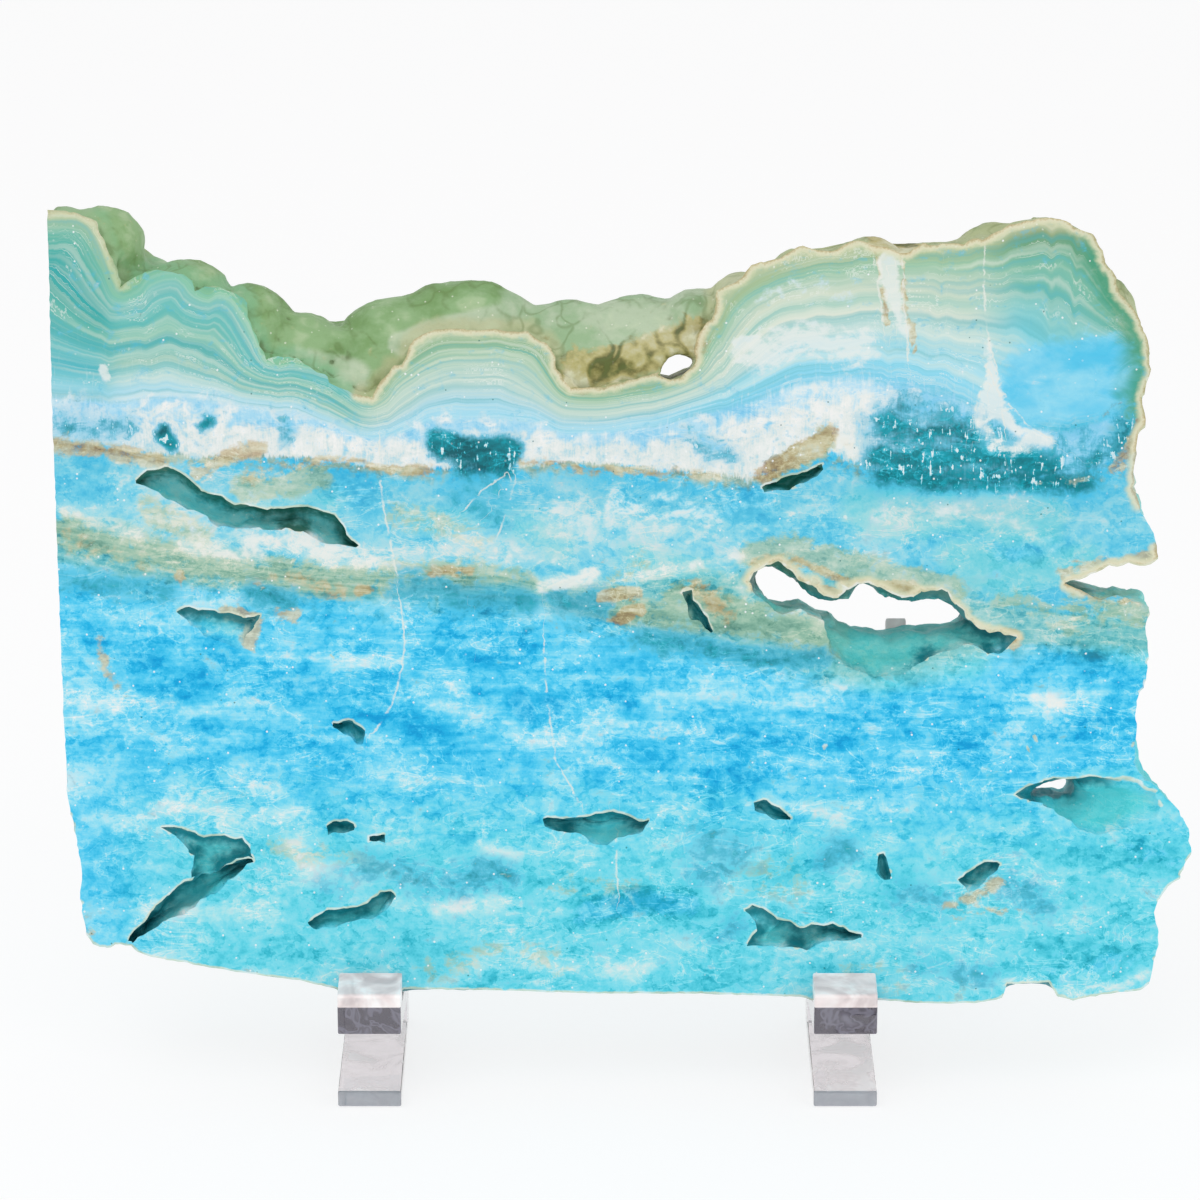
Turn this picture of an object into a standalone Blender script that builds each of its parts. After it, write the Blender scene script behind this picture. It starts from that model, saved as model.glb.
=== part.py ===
import math

import bmesh
import bpy
from mathutils import Matrix, Vector, noise

# Driving dimensions, in millimetres and degrees
MM = 0.001
THICKNESS = 25.0
LEAN = 12.0
FACE_FOOT_Y = 18.8
FACE_FOOT_Z = 28.3
SAWN_EDGE = -164.0
LEFT_STAND_X = -69.5
RIGHT_STAND_X = 74.0
STAND_WIDTH = 19.05
PROP_X = 90.3
PROP_WIDTH = 6.35
PROP_FOOT_WIDTH = 30.0
PROP_FOOT_HEIGHT = 4.0

# Polished face, read clockwise from the top of the sawn edge, as (across, up)
FACE = (
    (-164, 238), (-163.5, 181.5), (-162, 110), (-160.5, 63), (-160, 55.5), (-158, 52), (-157.5, 44),
    (-156, 19.5), (-153.5, 16), (-150, 15), (-145, 16), (-140, 13), (-131.5, 11), (-112, 7.5), (-91, 4.5),
    (-80, 2), (-77.5, -1.5), (-62, -1.5), (-59.5, 2), (-30.5, 1.5), (0, 0.5), (30.5, 0.5), (60.5, -0.5),
    (64.5, -1.5), (85, -1.5), (97, -2.5), (114, -2.5), (122, -1), (123.5, 3.5), (136, 4), (139, -0.5),
    (143.5, -1.5), (154, 0.5), (164, 1.5), (166.5, 3.5), (168.5, 12), (168, 22), (169, 29.5), (171.5, 33.5),
    (175.5, 36), (178, 44), (178, 50), (176.5, 55), (172.5, 59.5), (169, 63), (164, 67), (161, 71),
    (160.5, 78.5), (161.5, 83.5), (161, 90.5), (163.5, 97), (164.5, 104.5), (164, 117), (165, 125),
    (166.5, 132), (167, 137.5), (164.5, 143), (161.5, 149.5), (159.5, 154), (159.5, 162.5), (162, 174),
    (163.5, 182.5), (164, 195.5), (162.5, 201.5), (160.5, 205), (157.5, 209), (154.5, 213.5), (152, 219.5),
    (149.5, 226), (146, 231), (141, 233.5), (136, 235), (131, 235.5), (126, 234.5), (120, 232.5),
    (114, 229.5), (102, 228), (95.5, 227), (92.5, 225), (86, 226), (82, 227), (74.5, 228), (67.5, 226.5),
    (59.5, 226), (53, 223.5), (45, 220.5), (38.5, 216.5), (35.5, 213.5), (34, 209), (33, 204.5),
    (30.5, 200.5), (28, 197), (27.5, 191.5), (22.5, 188), (18, 189), (11, 188), (6.5, 186), (1, 185),
    (-8, 184.5), (-11, 187), (-12.5, 190.5), (-14, 196), (-17, 199), (-23, 201.5), (-30.5, 202),
    (-40.5, 202), (-49.5, 201.5), (-55, 199), (-58, 195), (-62.5, 189.5), (-65.5, 186), (-67.5, 182),
    (-71, 183), (-78.5, 185.5), (-84.5, 190.5), (-89.5, 193), (-95.5, 194), (-100, 193.5), (-101.5, 197.5),
    (-102.5, 201.5), (-104, 206.5), (-105.5, 210.5), (-108.5, 213.5), (-113.5, 215.5), (-117, 215),
    (-120, 213.5), (-121, 216.5), (-125.5, 219), (-131.5, 220), (-137.5, 218.5), (-142, 215.5),
    (-144, 219.5), (-145.5, 224.5), (-146.5, 228.5), (-148.5, 232.5), (-151.5, 235.5), (-155.5, 237.5),
)

# Natural skin that rises behind the polished face, clockwise from the sawn edge
SKIN_CREST = 22
SKIN = (
    (-164, 236.5), (-156, 236), (-146, 231.5), (-140.5, 225), (-137, 218.5), (-131, 218), (-118, 218),
    (-112, 213), (-101, 209), (-93, 204), (-84, 201), (-77, 198.5), (-72, 202.5), (-62, 208), (-45, 211.5),
    (-33, 211.5), (-22, 206), (-9, 205), (4, 205.5), (18, 206.5), (30, 208.5), (37, 210.5), (46, 205),
    (40, 185), (10, 176), (-15, 174), (-60, 172), (-100, 180), (-130, 195), (-164, 205),
)

# Botryoidal lumps of the skin: across, up, behind the face, and the three half widths
LUMPS = (
    (-160, 231.5, 15, 8, 8, 14), (-148.5, 226.5, 14, 12.5, 12.5, 13), (-124.5, 212.5, 15, 14, 10.5, 14),
    (-104.5, 203.5, 15, 12, 12, 14), (-89, 195, 16, 13, 11.5, 13), (-94.5, 192, 8, 5.5, 5.5, 6),
    (-85.5, 191, 8, 6, 6, 6), (-76.5, 188, 8, 6, 6, 6), (-69, 187, 9, 5, 5.5, 7), (-79.5, 196.5, 11, 6, 6, 8),
    (-70.5, 195, 11, 6, 6.5, 8), (-62.5, 199.5, 17, 16, 11.5, 13.5), (-41.5, 202.5, 17, 22.5, 14, 13),
    (-9, 199, 19, 15, 11, 13), (12, 199.5, 20, 18.5, 12, 12.5), (29, 205.5, 17, 10, 8.5, 13),
    (43.5, 210, 16, 10.5, 9, 14), (60, 217, 17, 10, 9, 13), (80.5, 220, 16, 11.5, 9.5, 14),
    (99, 217.5, 17, 12, 10.5, 13), (118, 224, 18, 11, 9.5, 12), (135, 221.5, 15, 13.5, 13, 14),
    (150, 205, 17, 12.5, 13, 12), (151, 183, 17, 12, 14, 13), (152, 100, 16, 12, 17, 12),
    (163, 46, 15, 14, 13, 12),
)

# Hollow under the overhanging skin: centre and half widths
CAVITY = (6, 190, 12, 21, 6.5, 8.5)

# Large window: rim on the face and the see-through throat, upper edges left to right, lower edges back
WINDOW_RIM_TOP = (
    (44.5, 127), (47, 130.5), (50.5, 132), (54, 132.5), (57, 130), (60, 126), (64.5, 124), (68, 122),
    (71.5, 121.5), (74, 125), (78.5, 127), (83, 125.5), (86, 123), (90.5, 121.5), (94, 121.5),
    (96.5, 124), (103, 123.5), (107, 121), (110, 117.5), (113.5, 112.5), (125.5, 110.5),
)
WINDOW_RIM_FOOT = (
    (125.5, 110.5), (121.5, 104.5), (115.5, 106), (109.5, 108), (104, 106), (98, 103), (91, 99.5),
    (84, 97), (76, 100), (68.5, 105.5), (68.5, 114.5), (63.5, 116), (60, 118.5), (55.5, 117.5),
    (50.5, 118.5), (47, 123), (44.5, 127),
)
WINDOW_THROAT_TOP = (
    (45.5, 126.5), (49.5, 129.5), (53.5, 129.5), (55.5, 128.5), (58, 125.5), (60.5, 123.5), (64.5, 122),
    (68, 119.5), (71.5, 119.5), (74.5, 123), (79, 125), (83, 123), (85.5, 120.5), (91, 119.5),
    (94.5, 120), (97, 122), (103.5, 121), (107, 119), (111, 114.5),
)
WINDOW_THROAT_FOOT = (
    (111, 114.5), (107.5, 112), (103.5, 110.5), (99, 109.5), (92.5, 109.5), (84.5, 109.5), (80, 110),
    (76, 111), (71, 112.5), (70.5, 115), (65, 115.5), (62.5, 118), (60.5, 118.5), (56, 117),
    (51.5, 118), (49, 121), (45.5, 126.5),
)

# Right-hand hole, set in a shallow bowl
EYE_RIM_TOP = (
    (124.5, 62), (127.5, 64), (131, 65), (138, 67), (145.5, 66.5), (152.5, 67.5), (160.5, 67),
    (164.5, 65.5), (170, 59),
)
EYE_RIM_FOOT = (
    (170, 59), (168.5, 55.5), (164.5, 52.5), (158.5, 50.5), (151, 49.5), (145.5, 50.5), (139.5, 54.5),
    (136, 58.5), (131.5, 59), (127.5, 60), (124.5, 62),
)
EYE_THROAT_TOP = ((131, 62.5), (133, 64), (135.5, 65), (141, 66), (143.5, 63))
EYE_THROAT_FOOT = ((143.5, 63), (142, 60), (138.5, 60), (134.5, 60.5), (131, 62.5))

# Small hole under the skin and the inlet in the right edge, both right through
SKIN_HOLE = ((18, 188), (19.5, 191), (22.5, 194), (26.5, 193.5), (27.5, 191.5), (26.5, 189.5), (21.5, 187))
INLET = (
    (172, 137), (163.5, 131.5), (157.5, 132), (152, 131), (144.5, 128), (139.5, 125.5), (140.5, 124),
    (149.5, 122.5), (155, 121.5), (161, 121), (172, 118),
)

# Grooves: floor depth, then the centre line as (across, up, half width)
GROOVES = (
    (8, ((-138, 157, 0.5), (-134, 156.5, 2.5), (-130, 156.5, 4.5), (-125.5, 154, 4), (-121.5, 151, 3.5),
         (-111.5, 146.5, 3.5), (-105, 146, 3.5), (-88.5, 146, 3.5), (-82, 143, 4), (-77.5, 140, 2.5),
         (-73, 137, 0.5))),
    (10, ((-142.5, 16, 1), (-138, 20, 2), (-134, 24, 2), (-129.5, 27.5, 3.5), (-124, 31.5, 4),
          (-119, 34.5, 3), (-114.5, 36, 2), (-109.5, 38.5, 1.5), (-104.5, 41.5, 0.5))),
    (5, ((-87.5, 22, 1), (-82, 23.5, 3), (-75.5, 24.5, 2.5), (-65.5, 28.5, 2.5), (-62.5, 31.5, 1))),
    (7, ((-17.5, 52.5, 1), (-12, 52.5, 2.5), (-4.5, 51.5, 3.5), (2, 51.5, 4.5), (7.5, 52, 3), (15.5, 53, 0.5))),
    (4, ((46.5, 58, 1), (51.5, 56.5, 2), (58, 54.5, 0.5))),
    (4, ((85.5, 43, 1), (85.5, 39, 2), (86, 35.5, 1))),
    (6, ((109.5, 34, 2), (113.5, 36.5, 2.5), (117.5, 39.5, 2.5), (120, 41, 1))),
    (7, ((50.5, 17, 1), (56, 18.5, 3.5), (62, 18, 4), (69.5, 19.5, 2.5), (79, 18, 0.5))),
    (4, ((26.5, 123.5, 1), (28, 119.5, 1.5), (29.5, 116, 2.5), (34, 112, 0.5))),
    (4, ((49, 155, 1), (55.5, 156.5, 2), (61.5, 158.5, 1.5), (67.5, 161, 1))),
    (4, ((-80.5, 84.5, 0.5), (-76, 83, 2), (-73, 80, 2), (-73, 77.5, 0.5))),
    (5, ((-82, 51.5, 1.5), (-78.5, 51.5, 2), (-75, 51.5, 1.5))),
    (3, ((-70, 48.5, 1), (-67.5, 48.5, 1.5), (-64.5, 48.5, 1))),
)

# Pockets whose floor falls away from the upper rim: upper depth, lower depth, outline
POCKETS = (
    (1.5, 7, ((-132, 51.5), (-128.5, 52), (-125.5, 50.5), (-116.5, 49), (-108.5, 48.5), (-104, 42.5),
              (-109, 41), (-114.5, 38), (-119.5, 36.5), (-124, 36.5), (-123.5, 42.5), (-128.5, 49))),
    (3, 0.8, ((-127.5, 117.5), (-125, 119.5), (-119, 119.5), (-113.5, 117.5), (-108, 116), (-101, 116.5),
              (-103.5, 112.5), (-106, 105.5), (-117, 109.5), (-123, 112.5))),
    (0.8, 4, ((44, 28), (46, 29.5), (52, 25), (58, 22.5), (64, 21), (60, 18.5), (55, 16.5), (50, 15.5),
              (45, 15), (47, 20))),
)

# Stand profile, as (back, up): base bar, rear riser and a ledge with a raised lip
STAND_PROFILE = (
    (0, 0), (64, 0), (64, 16.85), (18.13, 26.6), (20, 35.3), (6.8, 34), (6, 33.2), (6, 21.2),
    (50, 11.85), (50, 5), (0, 5),
)

# Rear strut profile: foot, front edge, tip against the back of the slab
PROP_PROFILE = ((88, 0), (128, 0), (67.2, 132.6), (63.0, 113.5))


def clear_scene():
    for item in list(bpy.data.objects):
        bpy.data.objects.remove(item, do_unlink=True)


def plain_material(name, colour, rough, transmission=0.0):
    material = bpy.data.materials.new(name)
    material.use_nodes = True
    shader = material.node_tree.nodes["Principled BSDF"]
    shader.inputs["Base Color"].default_value = (*colour, 1.0)
    shader.inputs["Roughness"].default_value = rough
    shader.inputs["Transmission Weight"].default_value = transmission
    material.diffuse_color = (*colour, 1.0)
    return material


def add_object(name, mesh_data, material=None):
    mesh = bpy.data.meshes.new(name)
    mesh_data.to_mesh(mesh)
    mesh_data.free()
    made = bpy.data.objects.new(name, mesh)
    bpy.context.collection.objects.link(made)
    if material:
        mesh.materials.append(material)
    return made


def resample(line, count):
    """Return count points at equal steps along an open line, both ends kept."""
    steps = [0.0]
    for a, b in zip(line, line[1:]):
        steps.append(steps[-1] + math.dist(a, b))
    points = []
    for index in range(count):
        target = steps[-1] * index / (count - 1)
        span = max(i for i in range(len(line) - 1) if steps[i] <= target + 1e-9)
        part = (target - steps[span]) / (steps[span + 1] - steps[span])
        a, b = line[span], line[span + 1]
        points.append((a[0] + (b[0] - a[0]) * part, a[1] + (b[1] - a[1]) * part))
    return points


def blend(a, b, part):
    return [(p[0] + (q[0] - p[0]) * part, p[1] + (q[1] - p[1]) * part) for p, q in zip(a, b)]


def shifted(line, up):
    return [(u, v + up) for u, v in line]


def at_depth(line, depth):
    """Place an outline of the face at a distance behind it: x across, y behind, z up."""
    return [(u, depth, v) for u, v in line]


def loft(name, rings):
    """Close a stack of equal rings into a solid."""
    made = bmesh.new()
    rows = [[made.verts.new(point) for point in ring] for ring in rings]
    count = len(rows[0])
    for low, high in zip(rows, rows[1:]):
        for i in range(count):
            j = (i + 1) % count
            made.faces.new((low[i], low[j], high[j], high[i]))
    made.faces.new(list(reversed(rows[0])))
    made.faces.new(rows[-1])
    bmesh.ops.triangulate(made, faces=made.faces[:])
    bmesh.ops.recalc_face_normals(made, faces=made.faces[:])
    return add_object(name, made)


def combine(target, others, operation):
    """Join or cut the target with every other solid, exactly, and keep the result."""
    group = bpy.data.collections.new("group")
    bpy.context.scene.collection.children.link(group)
    for other in others:
        bpy.context.collection.objects.unlink(other)
        group.objects.link(other)
    modifier = target.modifiers.new("combine", "BOOLEAN")
    modifier.operation = operation
    modifier.solver = "EXACT"
    modifier.operand_type = "COLLECTION"
    modifier.collection = group
    modifier.use_self = True
    graph = bpy.context.evaluated_depsgraph_get()
    graph.update()
    result = bpy.data.meshes.new_from_object(target.evaluated_get(graph))
    target.modifiers.clear()
    target.data = result
    for other in others:
        bpy.data.objects.remove(other, do_unlink=True)
    bpy.data.collections.remove(group)


def natural_wall(outline, depth, rounds, swing):
    """Soften an outline and let it wander, for the natural wall behind the face."""
    line = [Vector(point) for point in outline]
    count = len(line)
    for _ in range(rounds):
        line = [line[i] * 0.5 + (line[i - 1] + line[(i + 1) % count]) * 0.25 for i in range(count)]
    placed = []
    for i, point in enumerate(line):
        along = (line[(i + 1) % count] - line[i - 1]).normalized()
        inward = Vector((along.y, -along.x)) * -1.0
        grain = noise.noise(Vector((point.x * 0.07, depth * 0.13, point.y * 0.07)))
        sawn = min(1.0, max(0.0, (point.x - SAWN_EDGE - 9.0) / 8.0))
        resting = 0.0 if point.y < 6.0 else 1.0
        moved = point + inward * swing * (grain + 0.35) * sawn * resting
        placed.append((max(moved.x, SAWN_EDGE), depth, moved.y))
    return placed


def lowered_crest(drop):
    """The skin's outline with its upper edge let down, so that it slopes back from the face."""
    crest = [(u, v - drop) for u, v in SKIN[:SKIN_CREST]]
    return crest + list(SKIN[SKIN_CREST:])


def lump(index, spec):
    """One rounded knob of the skin, its surface gently uneven."""
    u, v, w, wide, tall, deep = spec
    made = bmesh.new()
    bmesh.ops.create_icosphere(made, subdivisions=3 if wide > 9 else 2, radius=1.0)
    for vert in made.verts:
        way = vert.co.copy()
        swell = 1.0 + 0.09 * noise.noise(way * 2.3 + Vector((index * 3.1, 0.0, 0.0)))
        vert.co = Vector((u + way.x * wide * swell, w + way.y * deep * swell, v + way.z * tall * swell))
    return add_object("lump", made)


def groove(depth, spine):
    """A trough that follows a centre line, narrower and deeper towards its floor."""
    rings = []
    for level, share in ((-0.6, 1.06), (depth * 0.45, 0.82), (depth, 0.3)):
        left, right = [], []
        for i, (u, v, half) in enumerate(spine):
            a = spine[max(i - 1, 0)]
            b = spine[min(i + 1, len(spine) - 1)]
            along = Vector((b[0] - a[0], b[1] - a[1])).normalized()
            side = Vector((-along.y, along.x)) * half * share
            end = 1.0 if 0 < i < len(spine) - 1 else 0.8
            floor = level if level < 0 else level * end
            left.append((u + side.x, floor, v + side.y))
            right.append((u - side.x, floor, v - side.y))
        rings.append(left + list(reversed(right)))
    return loft("groove", rings)


def pocket(upper, lower, outline):
    """A hollow whose floor tilts between its upper and lower rims."""
    top = max(v for _, v in outline)
    foot = min(v for _, v in outline)
    middle = Vector((sum(u for u, _ in outline), sum(v for _, v in outline))) / len(outline)
    rings = [at_depth(outline, -0.6)]
    for share, deep in ((0.12, 0.6), (0.4, 1.0)):
        ring = []
        for u, v in outline:
            fall = (top - v) / (top - foot)
            spot = Vector((u, v)).lerp(middle, share)
            ring.append((spot.x, (upper + (lower - upper) * fall) * deep, spot.y))
        rings.append(ring)
    return loft("pocket", rings)


def through(rim_top, rim_foot, throat_top, throat_foot, half, throat, flare):
    """A hole with a sloping bowl in front, a throat, and a wider back."""
    rim = resample(rim_top, half + 1)[:-1] + resample(rim_foot, half + 1)[:-1]
    top = resample(throat_top, half + 1)[:-1]
    foot = resample(throat_foot, half + 1)[:-1]
    neck = top + foot
    rings = [at_depth(blend(rim, neck, -0.03), -0.6)]
    rings.append(at_depth(blend(rim[:half], top, 0.9) + blend(rim[half:], foot, 0.35), throat * 0.35))
    rings.append(at_depth(shifted(top, flare * 0.2) + blend(rim[half:], foot, 0.8), throat * 0.7))
    rings.append(at_depth(shifted(top, flare * 0.4) + foot, throat))
    rings.append(at_depth(shifted(top, flare) + shifted(foot, -1.0), THICKNESS + 1.0))
    return loft("through", rings)


def prism(outline, near, far, growth=0.0):
    middle = Vector((sum(u for u, _ in outline), sum(v for _, v in outline))) / len(outline)
    wide = [tuple(Vector(p).lerp(middle, -growth)) for p in outline]
    return loft("prism", [at_depth(outline, near), at_depth(wide, far)])


def crust_box():
    made = bmesh.new()
    bmesh.ops.create_cube(made, size=1.0)
    for vert in made.verts:
        vert.co.x = SAWN_EDGE if vert.co.x < 0 else 190.0
        vert.co.y = 0.0 if vert.co.y < 0 else THICKNESS
        vert.co.z = -20.0 if vert.co.z < 0 else 260.0
    return add_object("crust_box", made)


def build_slab(material):
    levels = ((3.0, 1, 0.5), (8.0, 2, 2.2), (15.0, 3, 3.0), (20.0, 4, 2.4), (THICKNESS, 5, 2.0))
    rings = [at_depth(FACE, 0.0)] + [natural_wall(FACE, *level) for level in levels]
    slab = loft("slab", rings)
    depths = ((3.5, 0, 0.0), (7.0, 0, 0.8), (11.0, 1, 1.6), (16.0, 1, 2.2), (THICKNESS, 2, 2.2))
    drops = (10.0, 5.5, 2.0, 0.0, 0.0)
    rings = [natural_wall(lowered_crest(drop), *level) for drop, level in zip(drops, depths)]
    skin = loft("skin", rings)
    combine(slab, [skin] + [lump(i, spec) for i, spec in enumerate(LUMPS)], "UNION")
    cutters = [lump(40, CAVITY)]
    cutters += [groove(*spec) for spec in GROOVES]
    cutters += [pocket(*spec) for spec in POCKETS]
    window = (WINDOW_RIM_TOP, WINDOW_RIM_FOOT, WINDOW_THROAT_TOP, WINDOW_THROAT_FOOT)
    cutters.append(through(*window, 26, 14.0, 6.0))
    eye = (EYE_RIM_TOP, EYE_RIM_FOOT, EYE_THROAT_TOP, EYE_THROAT_FOOT)
    cutters.append(through(*eye, 11, 12.0, 2.5))
    cutters.append(prism(SKIN_HOLE, -1.0, THICKNESS + 2.0, 0.3))
    cutters.append(prism(INLET, -1.0, THICKNESS + 2.0, 0.05))
    combine(slab, cutters, "DIFFERENCE")
    combine(slab, [crust_box()], "INTERSECT")
    lean = Matrix.Rotation(math.radians(-LEAN), 4, "X")
    place = Matrix.Translation((0.0, FACE_FOOT_Y, FACE_FOOT_Z))
    slab.data.transform(Matrix.Scale(MM, 4) @ place @ lean)
    slab.data.materials.clear()
    slab.data.materials.append(material)
    return slab


def extruded(name, profile, middle, width, material):
    """Sweep a side profile across the given width."""
    made = bmesh.new()
    ring = [made.verts.new((middle - width / 2.0, y, z)) for y, z in profile]
    face = made.faces.new(ring)
    swept = bmesh.ops.extrude_face_region(made, geom=[face])
    moved = [part for part in swept["geom"] if isinstance(part, bmesh.types.BMVert)]
    bmesh.ops.translate(made, verts=moved, vec=(width, 0.0, 0.0))
    bmesh.ops.recalc_face_normals(made, faces=made.faces[:])
    made.transform(Matrix.Scale(MM, 4))
    return add_object(name, made, material)


def build_prop(material):
    prop = extruded("rear_prop", PROP_PROFILE, PROP_X, PROP_WIDTH, material)
    foot_profile = ((86, 0), (130, 0), (130, PROP_FOOT_HEIGHT), (86, PROP_FOOT_HEIGHT))
    foot = extruded("prop_foot", foot_profile, PROP_X, PROP_FOOT_WIDTH, material)
    combine(prop, [foot], "UNION")
    prop.data.materials.clear()
    prop.data.materials.append(material)
    return prop


def tidy(made):
    """Weld stray points and leave every face pointing outwards."""
    work = bmesh.new()
    work.from_mesh(made.data)
    bmesh.ops.remove_doubles(work, verts=work.verts[:], dist=0.00002)
    bmesh.ops.dissolve_degenerate(work, edges=work.edges[:], dist=0.00002)
    bmesh.ops.triangulate(work, faces=work.faces[:])
    bmesh.ops.recalc_face_normals(work, faces=work.faces[:])
    work.to_mesh(made.data)
    work.free()


def centre(made):
    """Move everything so the bottom centre of the whole sits at the origin."""
    points = [vert.co for item in made for vert in item.data.vertices]
    low = Vector([min(p[i] for p in points) for i in range(3)])
    high = Vector([max(p[i] for p in points) for i in range(3)])
    shift = Vector((-(low.x + high.x) / 2.0, -(low.y + high.y) / 2.0, -low.z))
    for item in made:
        item.data.transform(Matrix.Translation(shift))


clear_scene()
aragonite = plain_material("aragonite", (0.22, 0.50, 0.52), 0.12)
acrylic_left = plain_material("acrylic_left", (0.92, 0.94, 0.96), 0.03, 0.9)
acrylic_right = plain_material("acrylic_right", (0.92, 0.94, 0.96), 0.03, 0.9)
acrylic_prop = plain_material("acrylic_prop", (0.92, 0.94, 0.96), 0.03, 0.9)
pieces = [
    build_slab(aragonite),
    extruded("left_stand", STAND_PROFILE, LEFT_STAND_X, STAND_WIDTH, acrylic_left),
    extruded("right_stand", STAND_PROFILE, RIGHT_STAND_X, STAND_WIDTH, acrylic_right),
    build_prop(acrylic_prop),
]
for piece in pieces:
    tidy(piece)
centre(pieces)
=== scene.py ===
import math

import bmesh
import bpy
import numpy as np
from bpy.props import FloatProperty, FloatVectorProperty, PointerProperty
from bpy.types import Operator, Panel, PropertyGroup
from mathutils import Euler, Matrix, Vector, geometry, kdtree, noise


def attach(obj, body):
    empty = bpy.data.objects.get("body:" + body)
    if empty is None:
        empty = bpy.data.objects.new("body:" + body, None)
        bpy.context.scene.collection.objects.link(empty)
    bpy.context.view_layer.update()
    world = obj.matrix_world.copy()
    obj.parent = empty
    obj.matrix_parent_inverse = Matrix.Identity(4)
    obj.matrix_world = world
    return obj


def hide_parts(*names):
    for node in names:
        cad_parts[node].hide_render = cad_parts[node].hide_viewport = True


bl_info = {
    "name": "Polished Aragonite Slab",
    "version": (1, 0, 0),
    "blender": (4, 5, 0),
    "location": "View3D > Sidebar > Slab",
    "description": "A banded blue-green aragonite slab on clear acrylic feet",
    "category": "Add Mesh",
}

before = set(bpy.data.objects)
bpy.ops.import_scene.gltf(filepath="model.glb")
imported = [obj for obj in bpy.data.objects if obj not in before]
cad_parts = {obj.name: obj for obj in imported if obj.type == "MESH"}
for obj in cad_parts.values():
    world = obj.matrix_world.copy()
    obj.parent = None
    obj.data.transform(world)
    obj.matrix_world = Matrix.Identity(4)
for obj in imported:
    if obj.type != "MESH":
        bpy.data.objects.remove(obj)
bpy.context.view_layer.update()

# The slab leans back on its feet: the foot of its polished face, in metres, and its lean
MM = 0.001
LEAN = math.radians(12)
FACE_FOOT = Vector((-0.007, -0.0462, 0.0283))
SLAB_FRAME = Matrix.Translation(FACE_FOOT) @ Matrix.Rotation(-LEAN, 4, "X") @ Matrix.Scale(MM, 4)
THICKNESS = 25.0
SAWN_EDGE = -163.0
SKIN_FOOT = 165.0

# The view, for an image 1200 pixels wide
VIEW_WIDTH = 1200
SENSOR = 36.0
LENS = 148.5
CAMERA_PLACE = Vector((-0.007, -1.4164, 0.6546))
CAMERA_PITCH = math.radians(70)
PIXEL_MM = 0.302

# The fronts of the stands and of their ledges, then heights on the ledge: its foot, band and front edge, in metres
STAND_FRONT = -0.065
LEDGE_FRONT = -0.059
LEDGE_FOOT = 0.0212
LEDGE_EDGE = 0.0334
LEDGE_BAND = 0.0299

# The floor lies just under the feet, so that their clear undersides stay apart from it
FLOOR_GAP = 0.0004

NOISE_SEED = 3

# Mesh spacing in millimetres
COARSE_STEP = 3.2
FINE_STEP = 1.6

# The rim that the growth layers follow, then the horizons below it, as pixels of the view from left to right
GROWTH_RIM = (
    (40, 214), (60, 208), (78, 212), (92, 222), (103, 240), (112, 262), (122, 284), (126, 292), (130, 286),
    (140, 275), (160, 265), (180, 264), (196, 273), (206, 290), (210, 287), (222, 284), (238, 292), (250, 308),
    (258, 330), (264, 352), (268, 362), (300, 360), (330, 368), (352, 385), (370, 399), (385, 375), (405, 355),
    (433, 338), (465, 332), (497, 332), (525, 337), (543, 347), (553, 364), (560, 380), (568, 390), (600, 391),
    (640, 386), (675, 377), (692, 368), (705, 335), (718, 308), (735, 285), (760, 268), (800, 256), (840, 249),
    (880, 246), (920, 246), (984, 236), (1042, 221), (1080, 228), (1100, 250), (1119, 290), (1138, 325),
    (1150, 350), (1153, 400), (1146, 445),
)
FRINGE_TOP = (
    (48, 395), (124, 400), (150, 393), (197, 395), (250, 405), (300, 410), (345, 430), (372, 440), (400, 432),
    (430, 418), (480, 415), (530, 418), (560, 432), (600, 432), (650, 425), (690, 415), (730, 405), (760, 395),
    (800, 380), (850, 375), (905, 380), (960, 395), (985, 410), (1010, 420), (1060, 430), (1100, 420),
    (1130, 390), (1160, 360),
)
SEAM = (
    (48, 440), (100, 447), (150, 455), (197, 460), (260, 458), (330, 462), (400, 470), (430, 470), (520, 468),
    (560, 463), (620, 466), (660, 472), (700, 475), (745, 482), (770, 478), (800, 462), (830, 455), (870, 470),
    (920, 478), (1000, 480), (1060, 480), (1110, 470), (1160, 440),
)
BELT_TOP = (
    (48, 515), (120, 520), (170, 535), (230, 545), (300, 560), (350, 565), (420, 570), (500, 572), (560, 585),
    (640, 580), (700, 570), (750, 565), (850, 575), (920, 590), (1000, 600), (1060, 610), (1190, 620),
)
BELT_FOOT = (
    (48, 560), (120, 580), (200, 590), (300, 595), (400, 600), (470, 600), (560, 610), (640, 630), (700, 645),
    (760, 660), (850, 685), (920, 675), (1000, 650), (1060, 650), (1190, 655),
)
BRIGHT_FOOT = ((48, 770), (150, 775), (300, 790), (450, 790), (600, 780), (750, 790), (900, 800), (1000, 790),
               (1100, 775), (1190, 770))
SLAB_FOOT = ((48, 950), (300, 985), (600, 993), (1190, 992))
HORIZONS = (FRINGE_TOP, SEAM, BELT_TOP, BELT_FOOT, BRIGHT_FOOT, SLAB_FOOT)

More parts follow.
